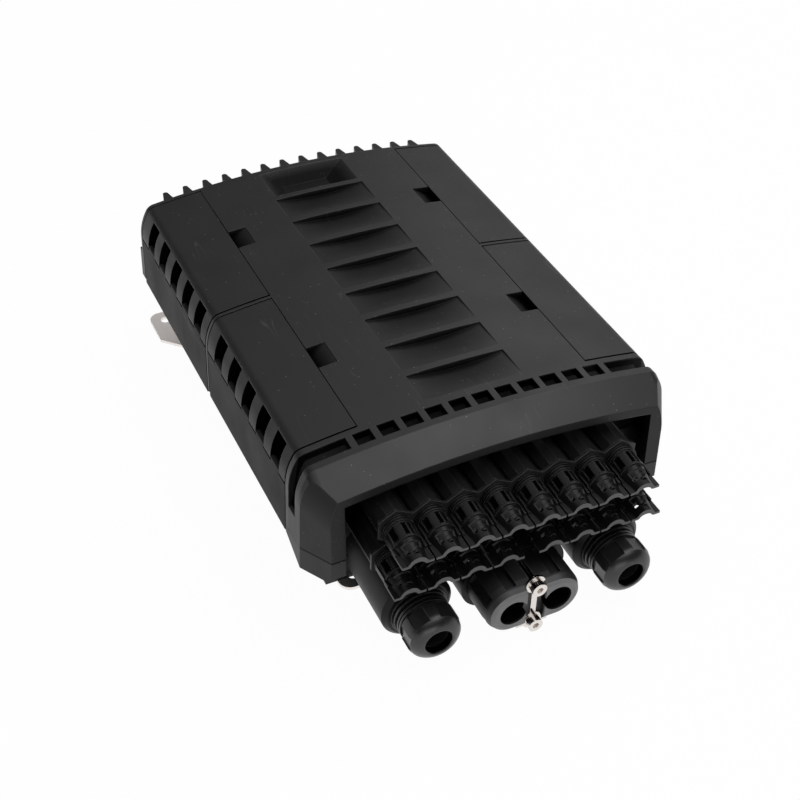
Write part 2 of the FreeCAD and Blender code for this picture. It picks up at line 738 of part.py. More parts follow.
def rear_uprights(block):
    """Upright edges at the rear end of a box."""
    uprights = [e for e in block.Edges if e.BoundBox.XLength < TOUCH and e.BoundBox.YLength < TOUCH]
    return [e for e in uprights if e.BoundBox.YMin > 0]


def make_base():
    tub = box(-TUB_HALF, TUB_HALF, BULKHEAD_FACE, REAR_LENGTH, BASE_LOW, PARTING_Z)
    tub = tub.makeFillet(TUB_CORNER, rear_uprights(tub))
    inside = box(-TUB_HALF + WALL, TUB_HALF - WALL, BULKHEAD_Y, REAR_LENGTH - WALL, BASE_LOW + FLOOR, PARTING_Z)
    inside = inside.makeFillet(TUB_CORNER - WALL, rear_uprights(inside))
    below = box(-REACH, REACH, -2 * REACH, 2 * REACH, BASE_LOW, PARTING_Z)
    rim = slab(BULKHEAD_FACE, RIM_REAR, 0, RIM_LOW).common(below)
    cheeks = fuse([slab(BROW_Y, BULKHEAD_Y, 0, BASE_LOW), cheek_form(0, BASE_LOW)])
    cheeks = cheeks.common(below).common(cheek_side(0))
    floor_front = HOOD_FRONT + CHEEK_FLOOR_SETBACK
    unfloored = fuse([
        cheek_side(WALL),
        box(-REACH, REACH, HOOD_FRONT, floor_front, BASE_LOW, PARTING_Z),
        box(-PLATE_HALF, PLATE_HALF, HOOD_FRONT, BULKHEAD_Y, BASE_LOW, PARTING_Z),
    ])
    mouth = mouth_space(cheek_form(MOUTH_ROOF, BASE_LOW), BASE_LOW)
    cheeks = cheeks.cut(mouth.common(unfloored))
    bosses = [rod(side * GLAND_HALF, GLAND_Z, BOSS_RADIUS, BOSS_END, BULKHEAD_Y) for side in (-1, 1)]
    bosses = [b.makeChamfer(BOSS_ROUND, [e for e in b.Edges if e.BoundBox.YMax < BOSS_END + TOUCH]) for b in bosses]
    twin = stadium(TWIN_HALF, GLAND_Z, TWIN_BOSS_RADIUS, TWIN_BOSS_END, BULKHEAD_Y)
    posts = [
        pillar(x, y, SCREW_POST_HALF, BASE_LOW, BASE_LOW + SCREW_POST_HEIGHT) for x, y in bracket_screws()
    ]
    tray_posts = [
        pillar(x, y, TRAY_POST_HALF, BASE_LOW, BASE_LOW + TRAY_POST_HEIGHT) for x, y in tray_posts_plan()
    ]
    shell = fuse([tub, rim]).cut(inside)
    base = fuse([shell, cheeks, twin] + bosses + posts + tray_posts)

    cuts = [clasp_recess(y0, y1) for y0, y1 in clasp_spans().values()]
    cuts.append(gasket_ring())
    cuts.append(box(-PLATE_HALF, PLATE_HALF, BULKHEAD_FACE, BULKHEAD_Y, PLATE_SEAT, PARTING_Z))
    for side in (-1, 1):
        cuts.append(rod(side * GLAND_HALF, GLAND_Z, STEM_RADIUS, BOSS_END, BULKHEAD_Y))
        cuts.append(rod(side * TWIN_HALF, GLAND_Z, TWIN_BORE, TWIN_BOSS_END, BULKHEAD_Y))
    pocket_end = TWIN_BOSS_END + TWIN_POCKET_DEPTH
    cuts.append(stadium(TWIN_HALF, GLAND_Z, TWIN_POCKET_RADIUS, TWIN_BOSS_END, pocket_end))
    for z in clamp_screw_heights():
        cuts.append(rod(0, z, SCREW_SHANK, TWIN_BOSS_END, pocket_end + SCREW_GRIP))
    for x, y in bracket_screws():
        cuts.append(post(x, y, BRACKET_SCREW_RADIUS, BASE_LOW, BRACKET_SCREW_LENGTH))
    return base.cut(cuts)


def knuckle_bar(y0, y1):
    """Hinge knuckle with flat sides, as thick as the flap."""
    corner = FLAP_THICKNESS / 2 / math.cos(math.pi / KNUCKLE_SIDES)
    return bar(PIN_X, SEAM_Z, corner, y0, y1, KNUCKLE_SIDES, 180 / KNUCKLE_SIDES)


def pin_spans(f0, f1):
    """Y limits of the two hinge pins of a clasp between f0 and f1."""
    front = f0 + PIN_SETBACK
    rear = f1 - PIN_SETBACK
    return (front, front + PIN_LENGTH), (rear - PIN_LENGTH - WINDOW_START, rear)


def make_flap(y0, y1):
    """Clasp flap of the right side: folds from the panel line round the shoulder to its hinge."""
    f0, f1 = clasp_body_span(y0, y1)
    low = SEAM_Z - WALL
    band = slab(f0, f1, 0, low).cut(slab(f0, f1, FLAP_THICKNESS, low - WALL))
    band = band.common(box(PANEL_LINE + FLAP_EDGE_GAP, REACH, f0, f1, SEAM_Z, TALL))
    cuts = [rod(PIN_X, SEAM_Z, PIN_RADIUS + PIN_CLEARANCE, p0, p1) for p0, p1 in pin_spans(f0, f1)]
    for w0, w1 in window_spans(f0, f1):
        cuts.append(box(CROWN_HALF, REACH, w0, w1, SEAM_Z - FLAP_THICKNESS, SEAM_Z + WINDOW_RISE))
    return fuse([band, knuckle_bar(f0, f1)]).cut(cuts)


def make_panel(y0, y1):
    """Clasp panel of the right side: hooks under the rim and carries the flap's hinge."""
    f0, f1 = clasp_body_span(y0, y1)
    knuckle = FLAP_THICKNESS / 2
    top = SEAM_Z - knuckle - HINGE_GAP
    form = slab(f0, f1, 0, PANEL_LOW)
    wall = form.cut(slab(f0, f1, POCKET, PANEL_LOW - WALL)).common(box(CROWN_HALF, REACH, f0, f1, PANEL_LOW, top))
    lip = form.common(box(SEAM_HALF - LIP_REACH, REACH, f0, f1, PANEL_LOW, RIM_LOW))
    pieces = [wall, lip]
    for w0, w1 in window_spans(f0, f1):
        t0 = w0 + HINGE_GAP
        t1 = w1 - HINGE_GAP
        pieces.append(knuckle_bar(t0, t1))
        pieces.append(box(PIN_X - knuckle, PIN_X + knuckle, t0, t1, top - knuckle, SEAM_Z))
    return fuse(pieces).cut([rod(PIN_X, SEAM_Z, PIN_RADIUS, p0, p1) for p0, p1 in pin_spans(f0, f1)])


def make_hinge_pins():
    pins = []
    for y0, y1 in clasp_spans().values():
        f0, f1 = clasp_body_span(y0, y1)
        for p0, p1 in pin_spans(f0, f1):
            pins += both_sides(rod(PIN_X, SEAM_Z, PIN_RADIUS, p0, p1))
    return Part.makeCompound(pins)


def gland_stations():
    """Y of the collar's front, the neck's end and the nut's rear end."""
    collar_end = BOSS_END - 5 * COLLAR_RIB
    return collar_end, collar_end - NECK_LENGTH, collar_end - NUT_GAP


def make_gland_body(x):
    """Stem in the boss, ribbed collar against its end and the neck that the nut turns on."""
    collar_end, neck_end, nut_rear = gland_stations()
    pieces = [
        rod(x, GLAND_Z, STEM_RADIUS, BOSS_END, BOSS_END + STEM_LENGTH),
        rod(x, GLAND_Z, NECK_RADIUS, neck_end, BOSS_END),
    ]
    for i in range(3):
        y = BOSS_END - 2 * i * COLLAR_RIB
        pieces.append(rod(x, GLAND_Z, COLLAR_RADIUS - i * COLLAR_TAPER, y - COLLAR_RIB, y))
    return fuse(pieces).cut(rod(x, GLAND_Z, NUT_BORE, neck_end, BOSS_END + STEM_LENGTH))


def make_gland_seal(x):
    neck_end = gland_stations()[1]
    seal = rod(x, GLAND_Z, NECK_RADIUS, neck_end - SEAL_LENGTH, neck_end)
    return seal.cut(rod(x, GLAND_Z, NUT_BORE, neck_end - SEAL_LENGTH, neck_end))


def dome_profile(rear, length, inner, outer, face_radius):
    """Half section of a domed cap: straight at its rear end, stepped down in facets to its front face."""
    face = rear - length
    points = [Vector(inner, face, 0), Vector(inner, rear, 0), Vector(outer, rear, 0)]
    for k in range(NUT_STEPS + 1):
        angle = math.pi / 2 * k / NUT_STEPS
        radius = face_radius + (outer - face_radius) * math.cos(angle)
        points.append(Vector(radius, face + NUT_DOME * (1 - math.sin(angle)), 0))
    return polygon(points)


def make_gland_nut(x):
    """Domed hexagonal nut, turned about the inlet's axis."""
    collar_end, neck_end, rear = gland_stations()
    profile = dome_profile(rear, NUT_LENGTH, NUT_BORE, NUT_RADIUS, NUT_FACE)
    nut = profile.revolve(Vector(0, 0, 0), Vector(0, 1, 0), 360)
    corner = NUT_FLATS / 2 / math.cos(math.pi / 6)
    nut = nut.common(bar(0, 0, corner, rear - NUT_LENGTH, rear, 6, 0))
    thread = rod(0, 0, NECK_RADIUS + NUT_CLEARANCE, neck_end - SEAL_LENGTH - SEAL_CLEARANCE, rear)
    return nut.cut(thread).translated(Vector(x, 0, GLAND_Z))


def clamp_screw_heights():
    return GLAND_Z + SCREW_SPREAD, GLAND_Z - SCREW_SPREAD


def twin_stations():
    """Y of the seal's front and of the cap's front face."""
    seal_front = TWIN_BOSS_END + TWIN_POCKET_DEPTH - TWIN_SEAL_LENGTH
    return seal_front, TWIN_BOSS_END - CAP_LENGTH


def twin_bores(y0, y1, radius):
    return [rod(side * TWIN_HALF, GLAND_Z, radius, y0, y1) for side in (-1, 1)]


def make_twin_seal():
    seal_front = twin_stations()[0]
    rear = TWIN_BOSS_END + TWIN_POCKET_DEPTH
    seal = stadium(TWIN_HALF, GLAND_Z, TWIN_POCKET_RADIUS, seal_front, rear)
    holes = [rod(0, z, SCREW_SHANK, seal_front, rear) for z in clamp_screw_heights()]
    return seal.cut(twin_bores(seal_front, rear, TWIN_BORE) + holes)


def twin_cap():
    """Two domed lobes side by side with the same section carried straight between them."""
    profile = dome_profile(TWIN_BOSS_END, CAP_LENGTH, 0, CAP_RADIUS, CAP_FACE)
    half = profile.revolve(Vector(0, 0, 0), Vector(0, 1, 0), 360)
    lobes = [half.translated(Vector(side * TWIN_HALF, 0, GLAND_Z)) for side in (-1, 1)]
    upright = profile.copy()
    upright.rotate(Vector(0, 0, 0), Vector(0, 1, 0), -90)
    upper = upright.translated(Vector(-TWIN_HALF, 0, GLAND_Z)).extrude(Vector(2 * TWIN_HALF, 0, 0))
    lower = upper.mirror(Vector(0, 0, GLAND_Z), Vector(0, 0, 1))
    return fuse(lobes + [upper, lower])


def twin_flutes(cap_face):
    """Grip grooves round the outside of each lobe, closed at the front by the dome."""
    flutes = []
    for angle in (90, 30, -30, -90):
        groove = box(-FLUTE_WIDTH / 2, FLUTE_WIDTH / 2, cap_face + FLUTE_FRONT, TWIN_BOSS_END,
                     CAP_RADIUS - FLUTE_DEPTH, CAP_RADIUS + WALL)
        groove.rotate(Vector(0, 0, 0), Vector(0, 1, 0), 90 - angle)
        flutes += both_sides(groove.translated(Vector(TWIN_HALF, 0, GLAND_Z)))
    return flutes


def make_twin_block():
    """Pressure block with two bores and a fluted, domed cap, channelled for the clamp."""
    seal_front, cap_face = twin_stations()
    body = stadium(TWIN_HALF, GLAND_Z, TWIN_POCKET_RADIUS - FIT, TWIN_BOSS_END, seal_front)
    channel = box(-CLAMP_CHANNEL_HALF, CLAMP_CHANNEL_HALF, cap_face, cap_face + CLAMP_CHANNEL_DEPTH, 0, PARTING_Z)
    holes = [rod(0, z, SCREW_SHANK, cap_face, seal_front) for z in clamp_screw_heights()]
    cuts = twin_bores(cap_face, seal_front, TWIN_BORE) + twin_flutes(cap_face) + holes
    return fuse([twin_cap(), body]).cut(cuts + [channel])


def make_twin_clamp():
    """Bent strip over the block: two eyes, the bar between them and a foot under the cap."""
    cap_face = twin_stations()[1]
    seat = cap_face + CLAMP_CHANNEL_DEPTH
    front = seat - CLAMP_SHEET
    high, low = clamp_screw_heights()
    under = GLAND_Z - CAP_RADIUS
    foot_end = front + CLAMP_FOOT_REACH
    pieces = [rod(0, z, CLAMP_RING, front, seat) for z in (high, low)]
    pieces.append(box(-CLAMP_BAR_HALF, CLAMP_BAR_HALF, front, seat, low, high))
    pieces.append(box(-CLAMP_RING, CLAMP_RING, front, seat, under - CLAMP_SHEET, low))
    pieces.append(box(-CLAMP_FOOT_HALF, CLAMP_FOOT_HALF, front, foot_end, under - CLAMP_SHEET, under))
    return fuse(pieces).cut([rod(0, z, SCREW_SHANK, front, foot_end) for z in (high, low)])


def make_clamp_screws():
    cap_face = twin_stations()[1]
    seat = cap_face + CLAMP_CHANNEL_DEPTH - CLAMP_SHEET
    end = TWIN_BOSS_END + TWIN_POCKET_DEPTH + SCREW_GRIP
    screws = []
    for z in clamp_screw_heights():
        head_face = seat - SCREW_HEAD_LENGTH
        shank = rod(0, z, SCREW_SHANK - FIT, seat, end)
        screw = fuse([shank, rod(0, z, SCREW_HEAD, head_face, seat)])
        socket = polygon([
            Vector(SCREW_SOCKET * math.cos(k * math.pi / 3), head_face, z + SCREW_SOCKET * math.sin(k * math.pi / 3))
            for k in range(6)
        ]).extrude(Vector(0, SCREW_SOCKET_DEPTH, 0))
        screws.append(screw.cut(socket))
    return Part.makeCompound(screws)


def bracket_screws():
    """Plan places of the screws between bracket and base."""
    return [(x, y) for x in (-BRACKET_SCREW_X, BRACKET_SCREW_X) for y in (-BRACKET_SCREW_Y, BRACKET_SCREW_Y)]


def make_bracket():
    """Flat stainless plate with wider ears at the rear, wall holes and slots for a pole band."""
    right = [
        Vector(BRACKET_FRONT_HALF, -BRACKET_FRONT, 0),
        Vector(BRACKET_FRONT_HALF, EAR_START, 0),
        Vector(BRACKET_REAR_HALF, EAR_FULL, 0),
        Vector(BRACKET_REAR_HALF, BRACKET_REAR, 0),
    ]
    left = [Vector(-p.x, p.y, p.z) for p in reversed(right)]
    plate = polygon(right + left).extrude(Vector(0, 0, BRACKET_SHEET))
    corners = [e for e in plate.Edges if e.BoundBox.ZLength > BRACKET_SHEET / 2 and (
        e.BoundBox.YMin > EAR_FULL or e.BoundBox.YMin < 0)]
    plate = plate.makeFillet(BRACKET_CORNER, corners)
    cuts = [post(x, y, WALL_HOLE_RADIUS, 0, BRACKET_SHEET) for x, y in wall_holes()]
    for y in (-BAND_SLOT_Y, BAND_SLOT_Y):
        cuts.append(box(-BAND_SLOT_LENGTH / 2, BAND_SLOT_LENGTH / 2, y - BAND_SLOT_WIDTH / 2,
                        y + BAND_SLOT_WIDTH / 2, 0, BRACKET_SHEET))
    for x, y in bracket_screws():
        cone = Part.makeCone(BRACKET_SCREW_HEAD, BRACKET_SCREW_RADIUS, BRACKET_SHEET, Vector(x, y, 0))
        cuts.append(cone)
    return plate.cut(cuts)


def wall_holes():
    rear = [(side * (BRACKET_REAR_HALF - WALL_HOLE_INSET_X), BRACKET_REAR - WALL_HOLE_INSET_Y) for side in (-1, 1)]
    front = [(side * (BRACKET_FRONT_HALF - WALL_HOLE_INSET_X), WALL_HOLE_INSET_Y - BRACKET_FRONT) for side in (-1, 1)]
    return rear + front


def make_bracket_screws():
    screws = []
    for x, y in bracket_screws():
        head = Part.makeCone(BRACKET_SCREW_HEAD, BRACKET_SCREW_RADIUS, BRACKET_SHEET, Vector(x, y, 0))
        screws.append(fuse([head, post(x, y, BRACKET_SCREW_RADIUS, BRACKET_SHEET, BRACKET_SCREW_LENGTH)]))
    return Part.makeCompound(screws)


def adapter_wall_y():
    return BULKHEAD_Y + ADAPTER_WALL_SETBACK


def make_adapter_panel():
    """Upright plate with a foot on the tub's floor and a cut-out for each adapter."""
    y = adapter_wall_y()
    half = TUB_HALF - WALL - ADAPTER_MARGIN
    floor = BASE_LOW + FLOOR
    top = UPPER_PORT_Z + ADAPTER_HEIGHT
    plate = box(-half, half, y, y + ADAPTER_PLATE, floor, top)
    foot = box(-half, half, y, y + ADAPTER_FOOT, floor, floor + ADAPTER_PLATE)
    holes = []
    for name, x, z in ports():
        holes.append(box(x - ADAPTER_WIDTH / 2, x + ADAPTER_WIDTH / 2, y, y + ADAPTER_PLATE,
                         z - ADAPTER_HEIGHT / 2, z + ADAPTER_HEIGHT / 2))
    return fuse([plate, foot]).cut(holes)


def make_adapters():
    """One through adapter behind each drop port, its flange against the panel."""
    y = adapter_wall_y()
    front = y + (ADAPTER_PLATE - ADAPTER_LENGTH) / 2
    adapters = []
    for name, x, z in ports():
        half_w = ADAPTER_WIDTH / 2
        half_h = ADAPTER_HEIGHT / 2
        body = box(x - half_w, x + half_w, front, front + ADAPTER_LENGTH, z - half_h, z + half_h)
        flange = box(x - half_w - ADAPTER_EAR, x + half_w + ADAPTER_EAR, y - ADAPTER_FLANGE, y,
                     z - half_h - ADAPTER_EAR, z + half_h + ADAPTER_EAR)
        adapters.append(fuse([body, flange]))
    return Part.makeCompound(adapters)


def tray_limits():
    return TRAY_CENTRE_Y - TRAY_LENGTH / 2, TRAY_CENTRE_Y + TRAY_LENGTH / 2


def tray_posts_plan():
    y0, y1 = tray_limits()
    x = TRAY_HALF - TRAY_POST_INSET
    return [(side * x, y) for side in (-1, 1) for y in (y0 + TRAY_POST_INSET, y1 - TRAY_POST_INSET)]


def tray_plate(inset, z0, z1):
    """Block with the tray's rounded plan."""
    y0, y1 = tray_limits()
    block = box(-TRAY_HALF + inset, TRAY_HALF - inset, y0 + inset, y1 - inset, z0, z1)
    corners = [e for e in block.Edges if e.BoundBox.XLength < TOUCH and e.BoundBox.YLength < TOUCH]
    return block.makeFillet(TRAY_CORNER - inset, corners)


def make_tray():
    z0 = BASE_LOW + TRAY_POST_HEIGHT
    return tray_plate(0, z0, z0 + TRAY_HEIGHT).cut(tray_plate(TRAY_WALL, z0 + TRAY_WALL, z0 + TRAY_HEIGHT))


def make_tray_lid():
    z0 = BASE_LOW + TRAY_POST_HEIGHT + TRAY_HEIGHT
    return tray_plate(0, z0, z0 + TRAY_WALL)


def make_splitter():
    z0 = BASE_LOW + TRAY_POST_HEIGHT + TRAY_WALL
    x = TRAY_HALF / 2
    y0 = TRAY_CENTRE_Y - SPLITTER_LENGTH / 2
    return box(x, x + SPLITTER_WIDTH, y0, y0 + SPLITTER_LENGTH, z0, z0 + SPLITTER_HEIGHT)


def make_cable_clamps():
    """Saddle on the floor behind each round inlet, bored for the cable."""
    y0 = BULKHEAD_Y + SADDLE_SETBACK
    floor = BASE_LOW + FLOOR
    saddles = []
    for side in (-1, 1):
        x = side * GLAND_HALF
        saddle = box(x - SADDLE_WIDTH / 2, x + SADDLE_WIDTH / 2, y0 - SADDLE_LENGTH, y0, floor, GLAND_Z)
        arch = rod(x, GLAND_Z, SADDLE_CABLE + WALL, y0 - SADDLE_LENGTH, y0)
        bore = rod(x, GLAND_Z, SADDLE_CABLE, y0 - SADDLE_LENGTH, y0)
        saddles.append(fuse([saddle, arch]).cut(bore))
    return Part.makeCompound(saddles)


def save(name, shape):
    shape.exportStep(f"parts/{name}.step")
    print(name, len(shape.Solids), round(shape.Volume / 1000, 2), shape.isValid())


def main():
    os.makedirs("parts", exist_ok=True)
    save("cover", make_cover())
    save("base", make_base())
    save("lid_gasket", make_gasket())
    save("port_block", make_port_block())
    save("drop_seals", make_drop_seals())
    for name, x, z in ports():
        save(f"drop_clip_{name}", make_clip(x, z))
    for place, (y0, y1) in clasp_spans().items():
        flap = make_flap(y0, y1)
        panel = make_panel(y0, y1)
        save(f"flap_right_{place}", flap)
        save(f"flap_left_{place}", mirrored(flap))
        save(f"panel_right_{place}", panel)
        save(f"panel_left_{place}", mirrored(panel))
    save("hinge_pins", make_hinge_pins())
    for side, x in (("left", -GLAND_HALF), ("right", GLAND_HALF)):
        save(f"gland_body_{side}", make_gland_body(x))
        save(f"gland_seal_{side}", make_gland_seal(x))
        save(f"gland_nut_{side}", make_gland_nut(x))
    save("twin_seal", make_twin_seal())
    save("twin_block", make_twin_block())
    save("twin_clamp", make_twin_clamp())
    save("clamp_screws", make_clamp_screws())
    save("mounting_bracket", make_bracket())
    save("bracket_screws", make_bracket_screws())
    save("adapter_panel", make_adapter_panel())
    save("adapters", make_adapters())
    save("splice_tray", make_tray())
    save("tray_lid", make_tray_lid())
    save("splitter_module", make_splitter())
    save("cable_clamps", make_cable_clamps())


main()
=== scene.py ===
# %% [markdown]
# A fibre distribution box, dressed for its portrait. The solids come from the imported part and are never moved.
# This lesson gives them their finishes, rebuilds the small mouldings whose curves catch the light, and then
# sets the floor, the lamps and the camera. Lengths are in metres, and MM turns millimetres into them.

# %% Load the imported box
import json
import math

import bmesh
import bpy
from mathutils import Matrix, Vector


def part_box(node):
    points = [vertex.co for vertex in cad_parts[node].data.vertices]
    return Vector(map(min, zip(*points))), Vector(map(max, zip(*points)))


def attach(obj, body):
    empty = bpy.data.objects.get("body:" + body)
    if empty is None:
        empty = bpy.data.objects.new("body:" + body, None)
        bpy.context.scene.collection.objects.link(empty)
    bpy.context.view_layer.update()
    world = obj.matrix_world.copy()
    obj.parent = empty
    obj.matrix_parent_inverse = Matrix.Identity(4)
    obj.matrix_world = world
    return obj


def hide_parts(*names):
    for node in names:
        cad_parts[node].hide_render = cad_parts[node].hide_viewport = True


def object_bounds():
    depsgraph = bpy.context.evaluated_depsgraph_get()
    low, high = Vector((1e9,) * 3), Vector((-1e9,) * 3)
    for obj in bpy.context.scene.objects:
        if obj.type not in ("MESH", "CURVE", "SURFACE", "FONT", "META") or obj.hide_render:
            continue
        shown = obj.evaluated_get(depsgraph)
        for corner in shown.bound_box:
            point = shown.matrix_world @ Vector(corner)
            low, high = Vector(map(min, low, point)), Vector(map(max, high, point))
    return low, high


MM = 0.001
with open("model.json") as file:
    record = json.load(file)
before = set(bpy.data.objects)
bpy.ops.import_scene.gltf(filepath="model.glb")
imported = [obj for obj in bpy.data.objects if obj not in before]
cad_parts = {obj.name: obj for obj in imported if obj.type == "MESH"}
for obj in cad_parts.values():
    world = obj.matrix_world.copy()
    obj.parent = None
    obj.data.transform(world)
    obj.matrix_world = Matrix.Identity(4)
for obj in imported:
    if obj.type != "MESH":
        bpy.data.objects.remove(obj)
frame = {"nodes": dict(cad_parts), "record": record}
nodes = frame["nodes"]
cad_box = [list(corner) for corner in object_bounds()]
print("nodes", len(nodes), "box", [[round(v, 4) for v in corner] for corner in cad_box])

# %% [markdown]
# Moulded plastic is never quite smooth. The mould is spark eroded, which leaves a fine grain all over the
# cover. The grain could be an image, but noise has no seams and needs no unwrapping. It is one shader node
# group that every plastic shares. A group has named sockets, made on its interface, and puts out values that
# change over the surface. The helpers give back the socket that carries a result, so that one call can feed
# the next.

# %% Helpers that add nodes
def join(tree, source, target):
    """Link an output socket to an input socket."""
    tree.links.new(source, target)


def math_node(tree, operation, first, second=0.0):
    """Math node whose inputs are sockets or plain numbers."""
    node = tree.nodes.new("ShaderNodeMath")
    node.operation = operation
    for socket, value in zip(node.inputs, (first, second)):
        if isinstance(value, (int, float)):
            socket.default_value = value
        else:
            join(tree, value, socket)
    return node.outputs[0]


def product(tree, *values):
    """Product of sockets and plain numbers, the first one a socket."""
    total = values[0]
    for value in values[1:]:
        total = math_node(tree, "MULTIPLY", total, value)
    return total


def ramp_between(tree, value, low, high, start=0.0, end=1.0):
    """Value mapped to start at low and to end at high, and clamped."""
    node = tree.nodes.new("ShaderNodeMapRange")
    node.inputs["From Min"].default_value = low
    node.inputs["From Max"].default_value = high
    node.inputs["To Min"].default_value = start
    node.inputs["To Max"].default_value = end
    join(tree, value, node.inputs["Value"])
    return node.outputs["Result"]


def noise(tree, vector, scale, detail=2.0, roughness=0.5):
    """Noise texture over a vector, a value around 0.5."""
    node = tree.nodes.new("ShaderNodeTexNoise")
    node.inputs["Scale"].default_value = scale
    node.inputs["Detail"].default_value = detail
    node.inputs["Roughness"].default_value = roughness
    join(tree, vector, node.inputs["Vector"])
    return node.outputs["Fac"]


def start_group(name, outputs):
    """Node group that puts out the named values, with its output node and its Object coordinates."""
    group = bpy.data.node_groups.new(name, "ShaderNodeTree")
    for label in outputs:
        group.interface.new_socket(name=label, in_out="OUTPUT", socket_type="NodeSocketFloat")
    place = group.nodes.new("ShaderNodeTexCoord")
    return group, group.nodes.new("NodeGroupOutput"), place.outputs["Object"]


# %% The moulding's grain
GRAIN_PER_METRE = 1400.0
MOTTLE_PER_METRE = 38.0


def build_grain():
    """Fine eroded grain for a bump, and a broad mottle for the roughness."""
    group, result, place = start_group("moulding grain", ("Height", "Mottle"))
    fine = noise(group, place, GRAIN_PER_METRE, detail=3.0, roughness=0.65)
    broad = noise(group, place, MOTTLE_PER_METRE, detail=5.0)
    join(group, fine, result.inputs["Height"])
    join(group, broad, result.inputs["Mottle"])
    return group


grain_group = build_grain()
print("group", grain_group.name)

# %% [markdown]
# The box in the photograph has been handled: pale specks of dust lie on its top, and a few hair scratches run
# across it. Specks come from a Voronoi texture, where only the cells with a high random value keep their
# centre. Scratches come from noise stretched along one direction, cut to a thin band and broken up by a second
# noise. They run two ways, because one way alone would look brushed.

# %% Dust specks
SPECKS_PER_METRE = 420.0
SPECK_LEAST = 0.87
SPECK_EDGE = (0.16, 0.04)


def dust_specks(tree, place):
    """Mask of the centres of a few Voronoi cells."""
    cells = tree.nodes.new("ShaderNodeTexVoronoi")
    cells.inputs["Scale"].default_value = SPECKS_PER_METRE
    join(tree, place, cells.inputs["Vector"])
    split = tree.nodes.new("ShaderNodeSeparateColor")
    join(tree, cells.outputs["Color"], split.inputs[0])
    chosen = math_node(tree, "GREATER_THAN", split.outputs[0], SPECK_LEAST)
    return product(tree, chosen, ramp_between(tree, cells.outputs["Distance"], *SPECK_EDGE))


# %% Hair scratches
SCRATCH_RUNS = ((0.5, 34.0), (1.9, 27.0))
SCRATCH_STRETCH = (1.0, 0.05, 0.3)
SCRATCH_FINENESS = 4
SCRATCH_WIDTH = (0.006, 0.001)
SCRATCH_PATCH = (0.58, 0.66)


def hair_scratches(tree, place, angle, patches):
    """Mask of thin lines at an angle in radians, broken into so many patches per metre."""
    turn = tree.nodes.new("ShaderNodeMapping")
    turn.inputs["Rotation"].default_value = (0.0, 0.0, angle)
    turn.inputs["Scale"].default_value = SCRATCH_STRETCH
    join(tree, place, turn.inputs["Vector"])
    streak = noise(tree, turn.outputs["Vector"], patches * SCRATCH_FINENESS)
    off = math_node(tree, "ABSOLUTE", math_node(tree, "SUBTRACT", streak, 0.5))
    patch = ramp_between(tree, noise(tree, place, patches), *SCRATCH_PATCH)
    return product(tree, ramp_between(tree, off, *SCRATCH_WIDTH), patch)


def build_marks():
    """Masks of dust specks and hair scratches, both 0 to 1."""
    group, result, place = start_group("handling marks", ("Dust", "Scratches"))
    runs = [hair_scratches(group, place, angle, patches) for angle, patches in SCRATCH_RUNS]
    join(group, dust_specks(group, place), result.inputs["Dust"])
    join(group, math_node(group, "MAXIMUM", *runs), result.inputs["Scratches"])
    return group


marks_group = build_marks()
print("group", marks_group.name)

# %% [markdown]
# Every plastic here is the same recipe with other numbers: a pigment, the grain as a bump, a roughness that
# wanders a little, and the marks mixed over the colour. A Bevel node rounds the edges in the shading alone,
# which gives each moulded edge the thin bright line that it has in real light. Where that rounded normal turns
# away from the plain one there is an edge, and an outer edge also gets a pale painted highlight in its colour.
# Ambient occlusion leaves out the inner corners, so that only outer edges get the painted highlight.

# %% Rounded edges, and a painted highlight on the outer ones
BEVEL_SAMPLES = 4
OPEN_AIR_SAMPLES = 4
OPEN_AIR_DISTANCE = 1.2 * MM
OPEN_AIR_SPAN = (0.7, 0.9)
EDGE_AGREEMENT = (0.985, 0.9)


def rounded_edges(tree, radius):
    """Normal of the skin with its edges rounded."""
    node = tree.nodes.new("ShaderNodeBevel")
    node.samples = BEVEL_SAMPLES
    node.inputs["Radius"].default_value = radius
    return node.outputs["Normal"]


def edge_highlight_mask(tree, rounded):
    """Mask for a painted highlight on the outer edges: rounded and plain normal differ, and the place is open.
    """
    skin = tree.nodes.new("ShaderNodeNewGeometry")
    agree = tree.nodes.new("ShaderNodeVectorMath")
    agree.operation = "DOT_PRODUCT"
    join(tree, rounded, agree.inputs[0])
    join(tree, skin.outputs["Normal"], agree.inputs[1])
    open_air = tree.nodes.new("ShaderNodeAmbientOcclusion")
    open_air.samples = OPEN_AIR_SAMPLES
    open_air.only_local = True
    open_air.inputs["Distance"].default_value = OPEN_AIR_DISTANCE
    edge = ramp_between(tree, agree.outputs["Value"], *EDGE_AGREEMENT)
    return product(tree, edge, ramp_between(tree, open_air.outputs["AO"], *OPEN_AIR_SPAN))


# %% Helpers for colours and places
MIX_FACTOR, MIX_FIRST, MIX_SECOND = 0, 6, 7
MIX_RESULT = 2


def mix_colour(tree, factor, first, second):
    """Colour from first at factor 0 to second at factor 1, each one a socket or a plain colour.

    A Mix node has sockets for numbers, vectors and colours, so the colour ones are named by their place."""
    node = tree.nodes.new("ShaderNodeMix")
    node.data_type = "RGBA"
    join(tree, factor, node.inputs[MIX_FACTOR])
    for place, colour in ((MIX_FIRST, first), (MIX_SECOND, second)):
        if isinstance(colour, tuple):
            node.inputs[place].default_value = colour
        else:
            join(tree, colour, node.inputs[place])
    return node.outputs[MIX_RESULT]


def coordinate_axes(tree, kind="Object"):
    """Sockets X, Y and Z of the Object coordinates, or of another kind such as Normal."""
    place = tree.nodes.new("ShaderNodeTexCoord")
    axes = tree.nodes.new("ShaderNodeSeparateXYZ")
    join(tree, place.outputs[kind], axes.inputs[0])
    return axes.outputs


def start_material(name):
    """New material, its node tree and its shader."""
    material = bpy.data.materials.new(name)
    material.use_nodes = True
    return material, material.node_tree, material.node_tree.nodes["Principled BSDF"]


